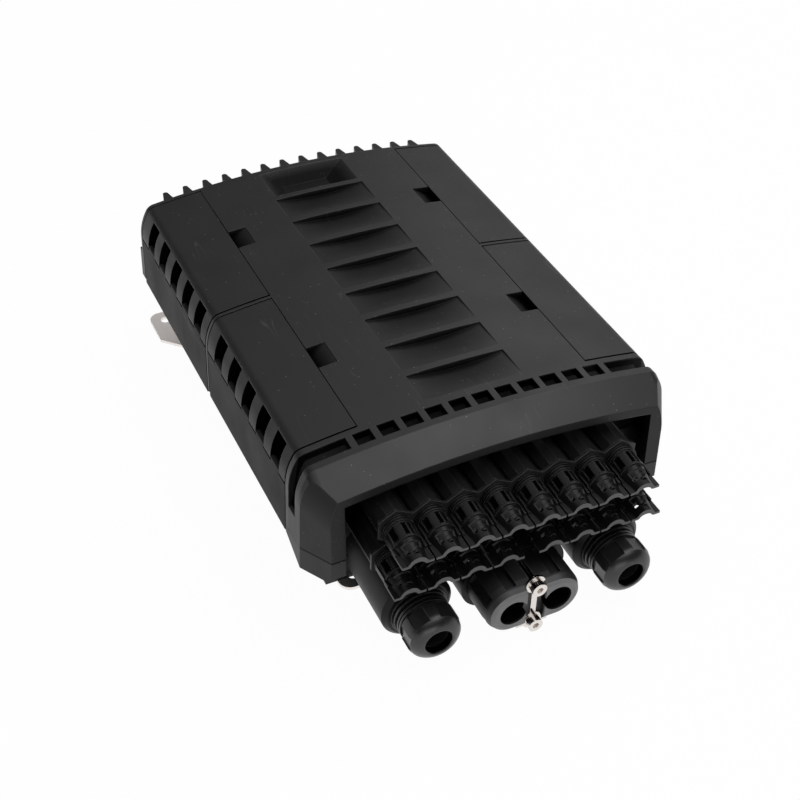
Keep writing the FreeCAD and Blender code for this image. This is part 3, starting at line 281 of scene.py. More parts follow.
def place_group(tree, group):
    """Outputs of a node group that is placed in a tree."""
    node = tree.nodes.new("ShaderNodeGroup")
    node.node_tree = group
    return node.outputs


# %% The recipe for moulded plastic
# Pale grey of dust specks and scratches, also used for the painted highlight on the outer edges.
DUST_AND_HIGHLIGHT_TONE = (0.26, 0.255, 0.25, 1.0)
FRONT_HIGHLIGHT_FADE = 0.2 * MM
MOTTLE_SPAN = (0.3, 0.7)
BUMP_STRENGTH = 0.5


def front_highlight_colour(tree, colour, front, tone):
    """The colour with a painted highlight: a paler grey tone in front of the plane y = front."""
    front_highlight = ramp_between(tree, coordinate_axes(tree)["Y"], front + FRONT_HIGHLIGHT_FADE, front)
    return mix_colour(tree, front_highlight, colour, (tone, tone, tone, 1.0))


def plastic(name, colour, roughness, wander=0.10, depth=0.06, dust=0.5, scratch=0.25, edge=0.45, gloss=0.5,
            front_highlight=None, edge_highlight=0.0):
    """Moulded plastic of one colour, with a roughness that varies by wander.

    depth, of the grain, and edge, the rounding's radius, are in millimetres. dust and scratch say how pale
    specks and scratches are, and the last argument how strong a painted highlight on the outer edges is. gloss
    is the specular level, and the (y, tone) argument is a painted highlight: in front of y the skin is that
    grey."""
    material, tree, shader = start_material(name)
    shader.inputs["Specular IOR Level"].default_value = gloss
    grain = place_group(tree, grain_group)
    marks = place_group(tree, marks_group)
    normal = rounded_edges(tree, edge * MM)

    base = (*colour, 1.0)
    # A painted highlight: the front of the piece is a paler grey.
    if front_highlight:
        base = front_highlight_colour(tree, base, *front_highlight)
    dusty = product(tree, marks["Dust"], dust)
    scratched = product(tree, marks["Scratches"], scratch)
    marks_and_highlight = math_node(tree, "MAXIMUM", dusty, scratched)
    # A painted highlight on the outer edges joins the dust and scratches.
    if edge_highlight:
        marks_and_highlight = math_node(tree, "MAXIMUM", marks_and_highlight, product(tree, edge_highlight_mask(tree, normal), edge_highlight))
    join(tree, mix_colour(tree, marks_and_highlight, base, DUST_AND_HIGHLIGHT_TONE), shader.inputs["Base Color"])

    smoothest, roughest = roughness - wander / 2, roughness + wander / 2
    wandering = ramp_between(tree, grain["Mottle"], *MOTTLE_SPAN, smoothest, roughest)
    join(tree, wandering, shader.inputs["Roughness"])

    bump = tree.nodes.new("ShaderNodeBump")
    bump.inputs["Strength"].default_value = BUMP_STRENGTH
    bump.inputs["Distance"].default_value = depth * MM
    join(tree, grain["Height"], bump.inputs["Height"])
    join(tree, normal, bump.inputs["Normal"])
    join(tree, bump.outputs["Normal"], shader.inputs["Normal"])
    return material


# %% The plastics of the box
BLUE_TRACE = 0.0005
HANDLED = {"dust": 0.8, "scratch": 0.11}
CLEAN = {"dust": 0.0, "scratch": 0.0}


def cool_black(level):
    """Black pigment with a trace of blue."""
    return (level, level, level + BLUE_TRACE)


port_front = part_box("port_block")[0][1]
twin_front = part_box("twin_block")[0][1]
shell_black = plastic("shell black", cool_black(0.013), 0.46, edge=0.7, gloss=0.33, **HANDLED)
cover_black = plastic("cover black", cool_black(0.014), 0.46, edge=0.7, gloss=0.46, edge_highlight=0.12, **HANDLED)
flap_black = plastic("flap black", cool_black(0.013), 0.47, edge=0.6, gloss=0.46, **HANDLED)
panel_black = plastic("panel black", (0.0155, 0.0138, 0.0138), 0.55, scratch=0.12, gloss=0.1)
# The port block and the twin inlet get a painted highlight on their fronts.
port_black = plastic(
    "port black", cool_black(0.008), 0.40, depth=0.02, dust=0.2, scratch=0.0, edge=0.25, gloss=0.28,
    front_highlight=(port_front + 0.5 * MM, 0.02), edge_highlight=0.6)
gland_black = plastic(
    "gland black", cool_black(0.011), 0.36, depth=0.03, dust=0.2, scratch=0.1, edge=0.4, gloss=0.62, edge_highlight=0.12)
twin_black = plastic(
    "twin inlet black", cool_black(0.011), 0.5, depth=0.03, dust=0.2, scratch=0.0, edge=0.4, gloss=0.7,
    front_highlight=(twin_front + 1.2 * MM, 0.15), edge_highlight=0.5)
clip_gloss = plastic(
    "clip gloss", cool_black(0.006), 0.30, wander=0.08, depth=0.012, dust=0.15, scratch=0.0, edge=0.2,
    gloss=0.17, edge_highlight=0.6)
# A paler copy of the clip black for the clips' front faces: a painted highlight.
clip_lit_face = plastic(
    "clip painted highlight face", (0.075, 0.074, 0.073), 0.5, depth=0.02, dust=0.1, scratch=0.0, edge=0.2)
# Near black without gloss for the liner in the clips' windows: painted shade.
clip_shade_liner = plastic("clip painted shade liner", (0.001, 0.001, 0.001), 0.8, gloss=0.02, **CLEAN)
seal_black = plastic("seal rubber", (0.012, 0.012, 0.012), 0.75, gloss=0.3, **CLEAN)
inner_grey = plastic("inner grey", (0.42, 0.43, 0.44), 0.55, **CLEAN)
lid_pale = plastic("tray lid pale", (0.62, 0.64, 0.65), 0.45, **CLEAN)
adapter_green = plastic("adapter green", (0.03, 0.22, 0.08), 0.4, **CLEAN)
print("plastics", len(bpy.data.materials))

# %% [markdown]
# Through the windows of the flaps one looks into the cover's hollow side, where next to no light arrives, and
# the scoops, the rear trough and the pry pockets of its top lie in their own shade. The solid's recesses are
# shallower than the real moulding's, so the skin is dimmed there. The masks come from Object coordinates, such
# as the depth below the crown's arc or a box on each side, and some from the way the skin faces. A black metal
# has no gloss at all, which is why a mask goes to Metallic as well as to the colour.

# %% Helpers that dim a material
BLACK = (0.0, 0.0, 0.0, 1.0)


def dim(material, *factors):
    """Take colour and gloss from a material by the product of the factors, masks and plain numbers."""
    tree = material.node_tree
    shader = tree.nodes["Principled BSDF"]
    mask = product(tree, *factors)
    colour = shader.inputs["Base Color"]
    join(tree, mix_colour(tree, mask, colour.links[0].from_socket, BLACK), colour)
    metallic = shader.inputs["Metallic"]
    if metallic.links:
        mask = math_node(tree, "MAXIMUM", metallic.links[0].from_socket, mask)
    join(tree, mask, metallic)


def places(tree):
    """Distance from the mirror plane, place along the box and height, at each point of the skin."""
    axes = coordinate_axes(tree)
    return math_node(tree, "ABSOLUTE", axes["X"]), axes["Y"], axes["Z"]


def inside(tree, *tests):
    """1 where all tests (operation, socket, limit) hold, and 0 elsewhere."""
    return product(tree, *[math_node(tree, *test) for test in tests])


def facing(tree, axis, start, full):
    """Mask by one part of the skin's own normal: 0 at start and 1 at full."""
    return ramp_between(tree, coordinate_axes(tree, "Normal")[axis], start, full)


# %% Dim the scoops, the trough and the pockets of the cover, and its grille
CROWN_RADIUS = 610.1 * MM
CROWN_TOP = cad_box[1][2]
POCKET_INNER = 40.0 * MM
POCKET_OUTER = 68.0 * MM
STRIP_BAND = (-122.0 * MM, 121.0 * MM)
SHADE_DEPTH = (0.3 * MM, 4.5 * MM)
SCOOP_SHADE = 0.62
POCKET_SHADE = 0.90
FLANK_SLOPE = 0.1424
FLANK_WIDTH = 104.6 * MM
SEAM_HEIGHT = 66.0 * MM
GRILLE_BAND = (-134.0 * MM, -124.5 * MM)
GRILLE_DEPTH = 1.0 * MM
GRILLE_SHADE = 0.9


def dim_top():
    """Shade in what is sunk below the crown's arc."""
    tree = cover_black.node_tree
    width, along, height = places(tree)
    fall = product(tree, width, width, 0.5 / CROWN_RADIUS)
    depth = math_node(tree, "SUBTRACT", math_node(tree, "SUBTRACT", CROWN_TOP, fall), height)
    strip = inside(
        tree, ("LESS_THAN", width, POCKET_OUTER),
        ("GREATER_THAN", along, STRIP_BAND[0]), ("LESS_THAN", along, STRIP_BAND[1]))
    in_pocket = math_node(tree, "GREATER_THAN", width, POCKET_INNER)
    shade = math_node(tree, "ADD", product(tree, in_pocket, POCKET_SHADE - SCOOP_SHADE), SCOOP_SHADE)
    dim(cover_black, strip, ramp_between(tree, depth, *SHADE_DEPTH), shade)

    above_seam = math_node(tree, "SUBTRACT", height, SEAM_HEIGHT)
    reach = math_node(tree, "ADD", width, product(tree, above_seam, FLANK_SLOPE))
    grille = inside(
        tree, ("GREATER_THAN", depth, GRILLE_DEPTH), ("LESS_THAN", reach, FLANK_WIDTH),
        ("GREATER_THAN", along, GRILLE_BAND[0]), ("LESS_THAN", along, GRILLE_BAND[1]))
    dim(cover_black, grille, GRILLE_SHADE)


dim_top()
print("dimmed the top of", cover_black.name)

# %% Dim the cover's hollow sides, its parting line and its cheeks
HOLLOW_FLOOR = 60.0 * MM
HOLLOW_MARGIN = 1.0 * MM
HOLLOW_SHOULDER = (92.0 * MM, 97.0 * MM)
HOLLOW_SHADE = 0.95
DIVIDER_HALF = 1.2 * MM
PARTING_TOP = 54.9 * MM
CHEEK_FACING = (0.5, 0.35)
CHEEK_SHADE = 0.42


def dim_sides():
    """Shade behind the flaps, apart from the divider between them, and round the hood."""
    tree = cover_black.node_tree
    width, along, height = places(tree)
    hollow_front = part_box("flap_right_front")[0][1]
    hollow_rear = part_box("flap_right_rear")[1][1]
    hollow = inside(
        tree, ("GREATER_THAN", height, HOLLOW_FLOOR),
        ("GREATER_THAN", along, hollow_front + HOLLOW_MARGIN),
        ("LESS_THAN", along, hollow_rear - HOLLOW_MARGIN),
        ("GREATER_THAN", math_node(tree, "ABSOLUTE", along), DIVIDER_HALF))
    dim(cover_black, hollow, ramp_between(tree, width, *HOLLOW_SHOULDER), HOLLOW_SHADE)

    hood = math_node(tree, "LESS_THAN", along, GRILLE_BAND[1])
    dim(cover_black, math_node(tree, "LESS_THAN", height, PARTING_TOP), hood)
    dim(cover_black, facing(tree, "Z", *CHEEK_FACING), hood, CHEEK_SHADE)


dim_sides()
print("dimmed the sides of", cover_black.name)

# %% Dim the flaps' sides and window walls, the bosses and the far end of the port roof
FLAP_SIDE_FACING = ((0.6, 0.35), (-0.7, -0.4))
FLAP_SIDE_SHADE = 0.75
WINDOW_WALL_FACING = (-0.5, -0.8)
WINDOW_WALL_SHADE = 0.88
BOSS_REACH = 85.0 * MM
BOSS_FACING = (0.8, 0.2)
BOSS_SHADE = 0.5
PORT_FAR_END = (-150.0 * MM, -137.0 * MM)
PORT_FAR_SHADE = 0.85


def dim_flaps():
    """Shade on the sides of the flaps and on what faces the port end, such as their window walls."""
    tree = flap_black.node_tree
    dim(flap_black, *[facing(tree, "Z", *span) for span in FLAP_SIDE_FACING], FLAP_SIDE_SHADE)
    dim(flap_black, facing(tree, "Y", *WINDOW_WALL_FACING), WINDOW_WALL_SHADE)


def dim_bosses():
    """Shade on the gland bosses and the twin inlet's boss, where they turn away from the top."""
    tree = shell_black.node_tree
    width, along, _ = places(tree)
    bosses = inside(tree, ("LESS_THAN", width, BOSS_REACH), ("LESS_THAN", along, GRILLE_BAND[1]))
    dim(shell_black, bosses, facing(tree, "Z", *BOSS_FACING), BOSS_SHADE)


def dim_port_roof():
    """Shade on the far end of the port roof, deep in the mouth of the hood."""
    tree = port_black.node_tree
    dim(port_black, ramp_between(tree, coordinate_axes(tree)["Y"], *PORT_FAR_END), PORT_FAR_SHADE)


dim_flaps()
dim_bosses()
dim_port_roof()
print("dimmed", flap_black.name, shell_black.name, port_black.name)

# %% Dim the cable bores
BORE_MARGIN_MM = 0.15
BORE_SHADE = 0.8


def near_axis(tree, x, z, radius):
    """1 inside a radius of the axes along Y at x and -x, at height z."""
    width, _, height = places(tree)
    aside = math_node(tree, "SUBTRACT", width, x)
    above = math_node(tree, "SUBTRACT", height, z)
    squares = [product(tree, part, part) for part in (aside, above)]
    return math_node(tree, "LESS_THAN", math_node(tree, "ADD", *squares), radius * radius)


# Painted shade inside each cable bore, round its axis.
for mount in frame["record"]["mounts"]:
    if mount["kind"] == "bore" and mount["pos_m"][0] > 0:
        material = twin_black if mount["name"].startswith("twin") else gland_black
        x, _, z = mount["pos_m"]
        radius = (mount["dims"]["r_mm"] + BORE_MARGIN_MM) * MM
        dim(material, near_axis(material.node_tree, x, z, radius), BORE_SHADE)
        print("dark bore", mount["name"])

# %% [markdown]
# The bracket is satin stainless sheet, rolled along its length, and the clamp and its screws are plated
# bright. Both are the same metal recipe. The roughness is noise that is drawn out along the sheet into fine
# streaks, strong in the rolled sheet and faint in the plating.

# %% The metals
ROLLING_STRETCH = (1.0, 0.03, 1.0)
STREAKS_PER_METRE = 900.0
METAL_EDGE = 0.3 * MM


def metal(name, colour, roughness, streaks):
    """Bare metal whose roughness is streaked along Y."""
    material, tree, shader = start_material(name)
    shader.inputs["Base Color"].default_value = (*colour, 1.0)
    shader.inputs["Metallic"].default_value = 1.0
    place = tree.nodes.new("ShaderNodeTexCoord")
    turn = tree.nodes.new("ShaderNodeMapping")
    turn.inputs["Scale"].default_value = ROLLING_STRETCH
    join(tree, place.outputs["Object"], turn.inputs["Vector"])
    rolled = noise(tree, turn.outputs["Vector"], STREAKS_PER_METRE)
    streaked = ramp_between(tree, rolled, 0.0, 1.0, roughness - streaks, roughness + streaks)
    join(tree, streaked, shader.inputs["Roughness"])
    join(tree, rounded_edges(tree, METAL_EDGE), shader.inputs["Normal"])
    return material


stainless = metal("satin stainless", (0.93, 0.88, 0.85), 0.50, 0.08)
plated = metal("bright plating", (0.74, 0.70, 0.67), 0.06, 0.02)
print("metals", stainless.name, plated.name)

# %% [markdown]
# The record names a material slot for each node, and this table says which finish a slot gets. The cover
# shares a slot with the base, and the twin inlet's block shares one with the glands. Both have masks of their
# own, so they are set apart at the end.

# %% Give each node its finish
FINISH = {
    "shell_plastic": shell_black, "flap_plastic": flap_black, "panel_plastic": panel_black,
    "port_plastic": port_black, "gland_plastic": gland_black, "seal_rubber": seal_black,
    "stainless": stainless, "bright_chrome": plated, "inner_plastic": inner_grey,
    "tray_lid_plastic": lid_pale, "adapter_plastic": adapter_green, "splitter_steel": stainless,
}
for part in frame["record"]["subparts"]:
    solid = nodes[part["node"]]
    if not solid.material_slots:
        solid.data.materials.append(None)
    for slot in solid.material_slots:
        slot.material = FINISH[part["material_slot"]]
nodes["twin_block"].material_slots[0].material = twin_black
nodes["cover"].material_slots[0].material = cover_black

# %% [markdown]
# The drop cable clips sit closest to the eye, and their round barrels decide how the port end catches the
# light. The solids have them in a few flat facets. Here one clip is built again from arches: a small flat face
# is spun half a turn about the cable's axis, which leaves a closed half ring. Spinning only part of the way
# leaves a window open. Lengths are in millimetres about the port's centre until the piece is placed.

# %% Helpers for small mouldings
ARCH_STEP = 9.0
ARCH_LEAST_STEPS = 3
SHARP_ANGLE = 50.0


def half_arch(shape, y0, y1, radius, thick, start=0.0, sweep=180.0):
    """Closed half ring about the Y axis from y0 to y1, or a part of it from start over sweep degrees."""
    corners = ((radius - thick, y0), (radius, y0), (radius, y1), (radius - thick, y1))
    verts = [shape.verts.new((x, y, 0.0)) for x, y in corners]
    face = shape.faces.new(verts)
    turn = Matrix.Rotation(math.radians(-start), 3, "Y")
    bmesh.ops.rotate(shape, verts=verts, cent=(0, 0, 0), matrix=turn)
    bmesh.ops.spin(shape, geom=[face], cent=(0, 0, 0), axis=(0, 1, 0), angle=math.radians(-sweep),
                   steps=max(ARCH_LEAST_STEPS, round(sweep / ARCH_STEP)), use_duplicate=False)


def block(shape, low, high):
    """Box between two corners."""
    made = bmesh.ops.create_cube(shape, size=1.0)["verts"]
    bmesh.ops.scale(shape, verts=made, vec=[b - a for a, b in zip(low, high)])
    bmesh.ops.translate(shape, verts=made, vec=[(a + b) / 2 for a, b in zip(low, high)])


def closed_loop(shape, points):
    """Vertices at the points, and the edges that close them into a loop."""
    verts = [shape.verts.new(point) for point in points]
    return verts, [shape.edges.new(pair) for pair in zip(verts, verts[1:] + verts[:1])]


def round_edges(shape, offset):
    """Bevel the edges that are sharper than SHARP_ANGLE degrees."""
    bmesh.ops.recalc_face_normals(shape, faces=shape.faces)
    limit = math.radians(SHARP_ANGLE)
    sharp = [e for e in shape.edges if len(e.link_faces) == 2 and e.calc_face_angle(0.0) > limit]
    bmesh.ops.bevel(shape, geom=sharp, offset=offset, offset_type="OFFSET", segments=2, profile=0.5,
                    affect="EDGES", clamp_overlap=True, material=-1)


def open_edges(shape):
    """Number of edges that don't lie between exactly two faces."""
    return len([e for e in shape.edges if len(e.link_faces) != 2])


def place_piece(shape, name, centre, materials, body, replaced, crease):
    """Piece from a shape in millimetres about centre, sharp past crease degrees.

    It rides on a body and stands for a CAD node."""
    mesh = bpy.data.meshes.new(name)
    shape.to_mesh(mesh)
    mesh.transform(Matrix.Translation(centre) @ Matrix.Scale(MM, 4))
    for material in materials:
        mesh.materials.append(material)
    mesh.shade_smooth()
    mesh.set_sharp_from_angle(angle=math.radians(crease))
    piece = bpy.data.objects.new(name, mesh)
    bpy.context.scene.collection.objects.link(piece)
    crisp = piece.modifiers.new("flat faces stay flat", "WEIGHTED_NORMAL")
    crisp.keep_sharp = True
    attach(piece, body)
    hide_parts(replaced)


# %% [markdown]
# A clip's rear half is a windowed half barrel behind stacked rings, and it leans down a little towards the
# front. The lean is a shear of the finished arches. A thin near-black liner of painted shade closes the hollow
# behind the windows.

# %% The barrel of a clip
FLANGE_Y = -164.5
COLLAR_Y = -177.4
NOSE_Y = -190.5
WINDOW_REAR_Y = -169.2
WINDOW_FRONT_Y = -176.6
LEAN = 1.2 / (FLANGE_Y - COLLAR_Y)
RINGS_Y = (-164.6, -166.1, -167.6)
RING_WIDTH = 0.8
RING_RADIUS, RING_THICK = 8.5, 2.0
ROOT_RADIUS, ROOT_THICK = 7.8, 2.4
BARS = ((0.0, 48.0), (64.0, 10.0), (92.0, 32.0), (154.0, 26.0))
BAR_RADIUS, BAR_THICK = 7.6, 1.5
HOLLOW_RADIUS, SHADE_LINER_THICK = 5.9, 0.5
NECK_RADIUS, NECK_THICK = 7.5, 2.4
COLLAR_RADIUS, COLLAR_THICK = 7.9, 2.8
COLLAR_FRONT, COLLAR_REAR = COLLAR_Y - 1.0, COLLAR_Y + 0.2
BARREL_EDGE = 0.14
SHADE_LINER_SLACK = 0.05
GLOSS_INDEX, LIT_FACE_INDEX, SHADE_LINER_INDEX = 0, 1, 2


def clip_barrel():
    """Rings, windowed barrel and collar, open below."""
    shape = bmesh.new()
    for y in RINGS_Y:
        half_arch(shape, y - RING_WIDTH, y, RING_RADIUS, RING_THICK)
    half_arch(shape, WINDOW_REAR_Y, FLANGE_Y, ROOT_RADIUS, ROOT_THICK)
    for start, sweep in BARS:
        half_arch(shape, WINDOW_FRONT_Y, WINDOW_REAR_Y, BAR_RADIUS, BAR_THICK, start, sweep)
    # The liner behind the windows, a sheet of painted shade.
    half_arch(shape, WINDOW_FRONT_Y, WINDOW_REAR_Y, HOLLOW_RADIUS, SHADE_LINER_THICK)
    half_arch(shape, COLLAR_Y, WINDOW_FRONT_Y, NECK_RADIUS, NECK_THICK)
    half_arch(shape, COLLAR_FRONT, COLLAR_REAR, COLLAR_RADIUS, COLLAR_THICK)
    round_edges(shape, BARREL_EDGE)
    # The liner's faces get the near-black finish of painted shade.
    for face in shape.faces:
        middle = face.calc_center_median()
        inner = math.hypot(middle.x, middle.z) < HOLLOW_RADIUS + SHADE_LINER_SLACK
        in_window = WINDOW_FRONT_Y < middle.y < WINDOW_REAR_Y
        face.material_index = SHADE_LINER_INDEX if inner and in_window else GLOSS_INDEX
    for vert in shape.verts:
        vert.co.z -= (FLANGE_Y - vert.co.y) * LEAN
    return shape


# %% [markdown]
# The front half of a clip is a moulded saddle with a wing on each side and a thick front edge. It starts as
# rings of vertices, one for each step from the nose to the collar, which are bridged into a closed body. The
# pad is inset, and the key hole is a face taken out above and below, bridged too.

# %% The saddle at the front of a clip
NOSE_TOP = ((8.7, -1.3), (5.7, -1.3), (4.9, -0.2), (3.9, 1.2), (2.2, 2.3), (0.7, 2.6))
NOSE_UNDER = ((8.7, -2.9), (5.0, -2.9), (3.9, -2.5), (3.2, -1.4), (1.8, -0.6), (0.6, -0.4))
COLLAR_TOP = ((8.7, -1.3), (7.5, -1.2), (6.9, 0.6), (5.6, 3.0), (3.2, 5.0), (1.0, 5.6))
COLLAR_UNDER = ((8.7, -2.9), (6.2, -2.9), (5.4, -2.2), (4.4, 1.0), (2.5, 3.0), (0.8, 3.6))
SADDLE_STEPS = ((NOSE_Y, 0.0), (-188.0, 0.05), (-186.0, 0.16), (-183.8, 0.42), (-180.6, 0.76), (-178.0, 1.0))
KEY_HOLE_Y, KEY_HOLE_REACH = -184.9, (0.9, 0.3)
KEY_HOLE_TOP_X, KEY_HOLE_UNDER_X = -3.0, -2.5
PAD_Y, PAD_REACH = -182.2, (4.4, 0.4)
PAD_BORDER, PAD_DEPTH = 0.55, 0.5
LEAST_TILT = 0.1
UP, DOWN = 1, -1


def between(nose, collar, share):
    """Points of a section between the nose's and the collar's."""
    return [(a[0] + (b[0] - a[0]) * share, a[1] + (b[1] - a[1]) * share) for a, b in zip(nose, collar)]


def saddle_ring(shape, y, share):
    """Edges round the saddle's section, share 0 at the nose and 1 at the collar."""
    top = between(NOSE_TOP, COLLAR_TOP, share)
    under = between(NOSE_UNDER, COLLAR_UNDER, share)
    line = top + [(-x, z) for x, z in reversed(top)] + [(-x, z) for x, z in under] + list(reversed(under))
    return closed_loop(shape, [(x, y, z) for x, z in line])[1]


def faces_near(shape, x, y, reach, side):
    """Faces whose middle lies within reach of x, y and that face UP or DOWN."""
    found = []
    for face in shape.faces:
        middle = face.calc_center_median()
        near = abs(middle.x - x) < reach[0] and abs(middle.y - y) < reach[1]
        if near and face.normal.z * side > LEAST_TILT:
            found.append(face)
    return found


def clip_saddle():
    """Saddle with wings, key hole and inset pad."""
    shape = bmesh.new()
    rings = [saddle_ring(shape, y, share) for y, share in SADDLE_STEPS]
    for first, second in zip(rings, rings[1:]):
        bmesh.ops.bridge_loops(shape, edges=first + second)
    for end in (rings[0], rings[-1]):
        bmesh.ops.edgeloop_fill(shape, edges=end)
    bmesh.ops.recalc_face_normals(shape, faces=shape.faces)
    hole = faces_near(shape, KEY_HOLE_TOP_X, KEY_HOLE_Y, KEY_HOLE_REACH, UP)
    hole += faces_near(shape, KEY_HOLE_UNDER_X, KEY_HOLE_Y, KEY_HOLE_REACH, DOWN)
    bmesh.ops.delete(shape, geom=hole, context="FACES")
    rim = [e for e in shape.edges if len(e.link_faces) == 1]
    bmesh.ops.bridge_loops(shape, edges=rim)
    pad = faces_near(shape, 0.0, PAD_Y, PAD_REACH, UP)
    bmesh.ops.inset_region(shape, faces=pad, thickness=PAD_BORDER, depth=-PAD_DEPTH, use_even_offset=True)
    print("saddle hole faces", len(hole), "hole rim", len(rim), "pad faces", len(pad))
    return shape


# %% [markdown]
# A small loop stands on the saddle, and rails, wing ribs and snap legs run along both sides. They are plain
# blocks with rounded edges. The loop is an arch about the port's centre, so it is lifted onto the saddle
# afterwards, and the saddle's underside right below it comes up with it, which leaves a thin wall there.

# %% A whole clip
LOOP_Y = (-187.2, -185.9)
LOOP_RADIUS, LOOP_THICK = 1.9, 0.75
LOOP_LIFT = (0.6, 0.0, 2.2)
LOOP_GRAB_RADIUS, LOOP_GRAB_SLACK = 1.92, 0.05
SADDLE_EDGE = 0.18
RAIL = (7.3, 1.1, COLLAR_Y - 0.6, FLANGE_Y, -2.9, 0.3)
WING_RIB = (8.1, 0.6, -182.0, COLLAR_Y, -2.0, -0.1)
SNAP_LEG = (3.65, 0.75, FLANGE_Y, FLANGE_Y + 12.0, -3.4, 3.4)
FRONT_FACING = -0.85
FRONT_BAND = 0.3


def lift_loop(saddle):
    """Add the loop at the port's centre and lift it, with what lies inside its reach."""
    half_arch(saddle, *LOOP_Y, LOOP_RADIUS, LOOP_THICK)
    front, rear = LOOP_Y[0] - LOOP_GRAB_SLACK, LOOP_Y[1] + LOOP_GRAB_SLACK
    loop = []
    for vert in saddle.verts:
        if front < vert.co.y < rear and math.hypot(vert.co.x, vert.co.z) < LOOP_GRAB_RADIUS:
            loop.append(vert)
    bmesh.ops.translate(saddle, verts=loop, vec=LOOP_LIFT)


def clip_shape():
    """Barrel, saddle, loop, rails, wing ribs and snap legs, with a painted highlight on the front faces."""
    whole = clip_barrel()
    saddle = clip_saddle()
    lift_loop(saddle)
    for side in (-1, 1):
        for middle, half, y0, y1, z0, z1 in (RAIL, WING_RIB, SNAP_LEG):
            block(saddle, (side * middle - half, y0, z0), (side * middle + half, y1, z1))
    round_edges(saddle, SADDLE_EDGE)
    part = bpy.data.meshes.new("saddle part")
    saddle.to_mesh(part)
    saddle.free()
    whole.from_mesh(part)
    bpy.data.meshes.remove(part)
    bmesh.ops.recalc_face_normals(whole, faces=whole.faces)
    # The front faces get the paler finish, a painted highlight.
    for face in whole.faces:
        if face.normal.y < FRONT_FACING and face.calc_center_median().y < NOSE_Y + FRONT_BAND:
            face.material_index = LIT_FACE_INDEX
    return whole


# %% A clip at each port
CLIP_CREASE = 32
CENTRE_ABOVE_LOW = 4.0 * MM
CLIP_FINISHES = (clip_gloss, clip_lit_face, clip_shade_liner)

clip = clip_shape()
print("clip faces", len(clip.faces), "open edges", open_edges(clip))
for row in ("upper", "lower"):
    for number in range(1, 9):
        node = f"drop_clip_{row}_{number}"
        low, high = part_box(node)
        centre = ((low[0] + high[0]) / 2, 0.0, low[2] + CENTRE_ABOVE_LOW)
        name = f"clip_{row}_{number}"
        place_piece(clip, name, centre, CLIP_FINISHES, "case", node, CLIP_CREASE)
clip.free()

# %% [markdown]
# A gland nut is a moulding with six flats that are sunk between ribs, a round collar behind them and a dome in
# front. Collar and dome are sections that are spun once about the inlet. The ribbed part is a ring of vertices
# that steps in and out, drawn at three places along the axis, then back along the hole, and bridged. The ribs
# slope off where the dome begins, and this small slope catches the brightest light of the nut.

# %% The collar and the dome of a gland nut
NUT_HOLE = 11.46
COLLAR_SECTION = (
    (NUT_HOLE, -184.0), (14.2, -184.0), (14.6, -184.4), (14.6, -185.7), (13.1, -185.8), (13.1, -187.0),
    (NUT_HOLE, -187.0),
)
DOME_SECTION = (
    (NUT_HOLE, -197.2), (14.25, -197.2), (13.9, -197.9), (13.1, -198.9), (11.9, -200.0), (10.4, -200.9),
    (8.9, -201.5), (8.1, -201.5), (7.5, -200.9), (7.5, -197.2),
)
TURN_STEPS = 96


def turned(shape, section):
    """Closed section (radius, y) spun once about the Y axis."""
    ring, edges = closed_loop(shape, [(radius, y, 0.0) for radius, y in section])
    bmesh.ops.spin(shape, geom=ring + edges, cent=(0, 0, 0), axis=(0, 1, 0), angle=math.tau,
                   steps=TURN_STEPS, use_merge=True)


# %% The ribs of a gland nut, and the flats between them
FLATS = 6
FLAT_REACH = 13.5
FLAT_HALF_ANGLE = 18.0
FLAT_TURN = 2.0
FLAT_CORNER = FLAT_REACH / math.cos(math.radians(FLAT_HALF_ANGLE))
RIB_RADIUS = 15.0
RIB_STEPS = ((-187.0, RIB_RADIUS), (-194.9, RIB_RADIUS), (-197.2, 14.2))
RIB_ANGLES = (0.6, 6.0, 12.0, 18.0, 23.4)
WELD = 0.001


def rib_ring(shape, y, rib, corner):
    """Edges of a ring with radius corner at the ends of each flat and rib at the ribs."""
    around = [(-FLAT_HALF_ANGLE, corner), (FLAT_HALF_ANGLE, corner)]
    around += [(FLAT_HALF_ANGLE + turn, rib) for turn in RIB_ANGLES]
    points = []
    for number in range(FLATS):
        for turn, radius in around:
            angle = math.radians(360 / FLATS * number + FLAT_TURN + turn)
            points.append((radius * math.cos(angle), y, radius * math.sin(angle)))
    return closed_loop(shape, points)[1]


def nut_shape():
    """Collar, ribbed part and dome about the Y axis."""
    shape = bmesh.new()
    turned(shape, COLLAR_SECTION)
    turned(shape, DOME_SECTION)
    bmesh.ops.remove_doubles(shape, verts=shape.verts, dist=WELD)
    rings = [rib_ring(shape, y, rib, FLAT_CORNER) for y, rib in RIB_STEPS]
    rings += [rib_ring(shape, step[0], NUT_HOLE, NUT_HOLE) for step in reversed(RIB_STEPS)]
    for first, second in zip(rings, rings[1:] + rings[:1]):
        bmesh.ops.bridge_loops(shape, edges=first + second)
    bmesh.ops.recalc_face_normals(shape, faces=shape.faces)
    return shape


# %% A nut at each gland
NUT_CREASE = 24

nut = nut_shape()
print("nut faces", len(nut.faces), "open edges", open_edges(nut))
for side in ("left", "right"):
    low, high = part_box(f"gland_nut_{side}")
    centre = ((low[0] + high[0]) / 2, 0.0, (low[2] + high[2]) / 2)
    # A nut's piece has the name of the body that it rides on.
    name = f"nut_{side}"
    place_piece(nut, name, centre, (gland_black,), name, f"gland_nut_{side}", NUT_CREASE)
nut.free()

# %% [markdown]
# The photograph stands the box on pure white. The floor is a large pale sheet under the bracket. To the camera
# and to reflections it is mostly plain white, which Light Path tells apart, and the rest of it is an ordinary
# matt surface, so that the box still drops a soft shadow.

# %% The floor
FLOOR_HALF = 6.0
FLOOR_DROP = 0.2 * MM
FLOOR_WHITE = 0.97
SHEET_GREY = (0.93, 0.93, 0.93, 1.0)
SHEET_ROUGHNESS = 0.9


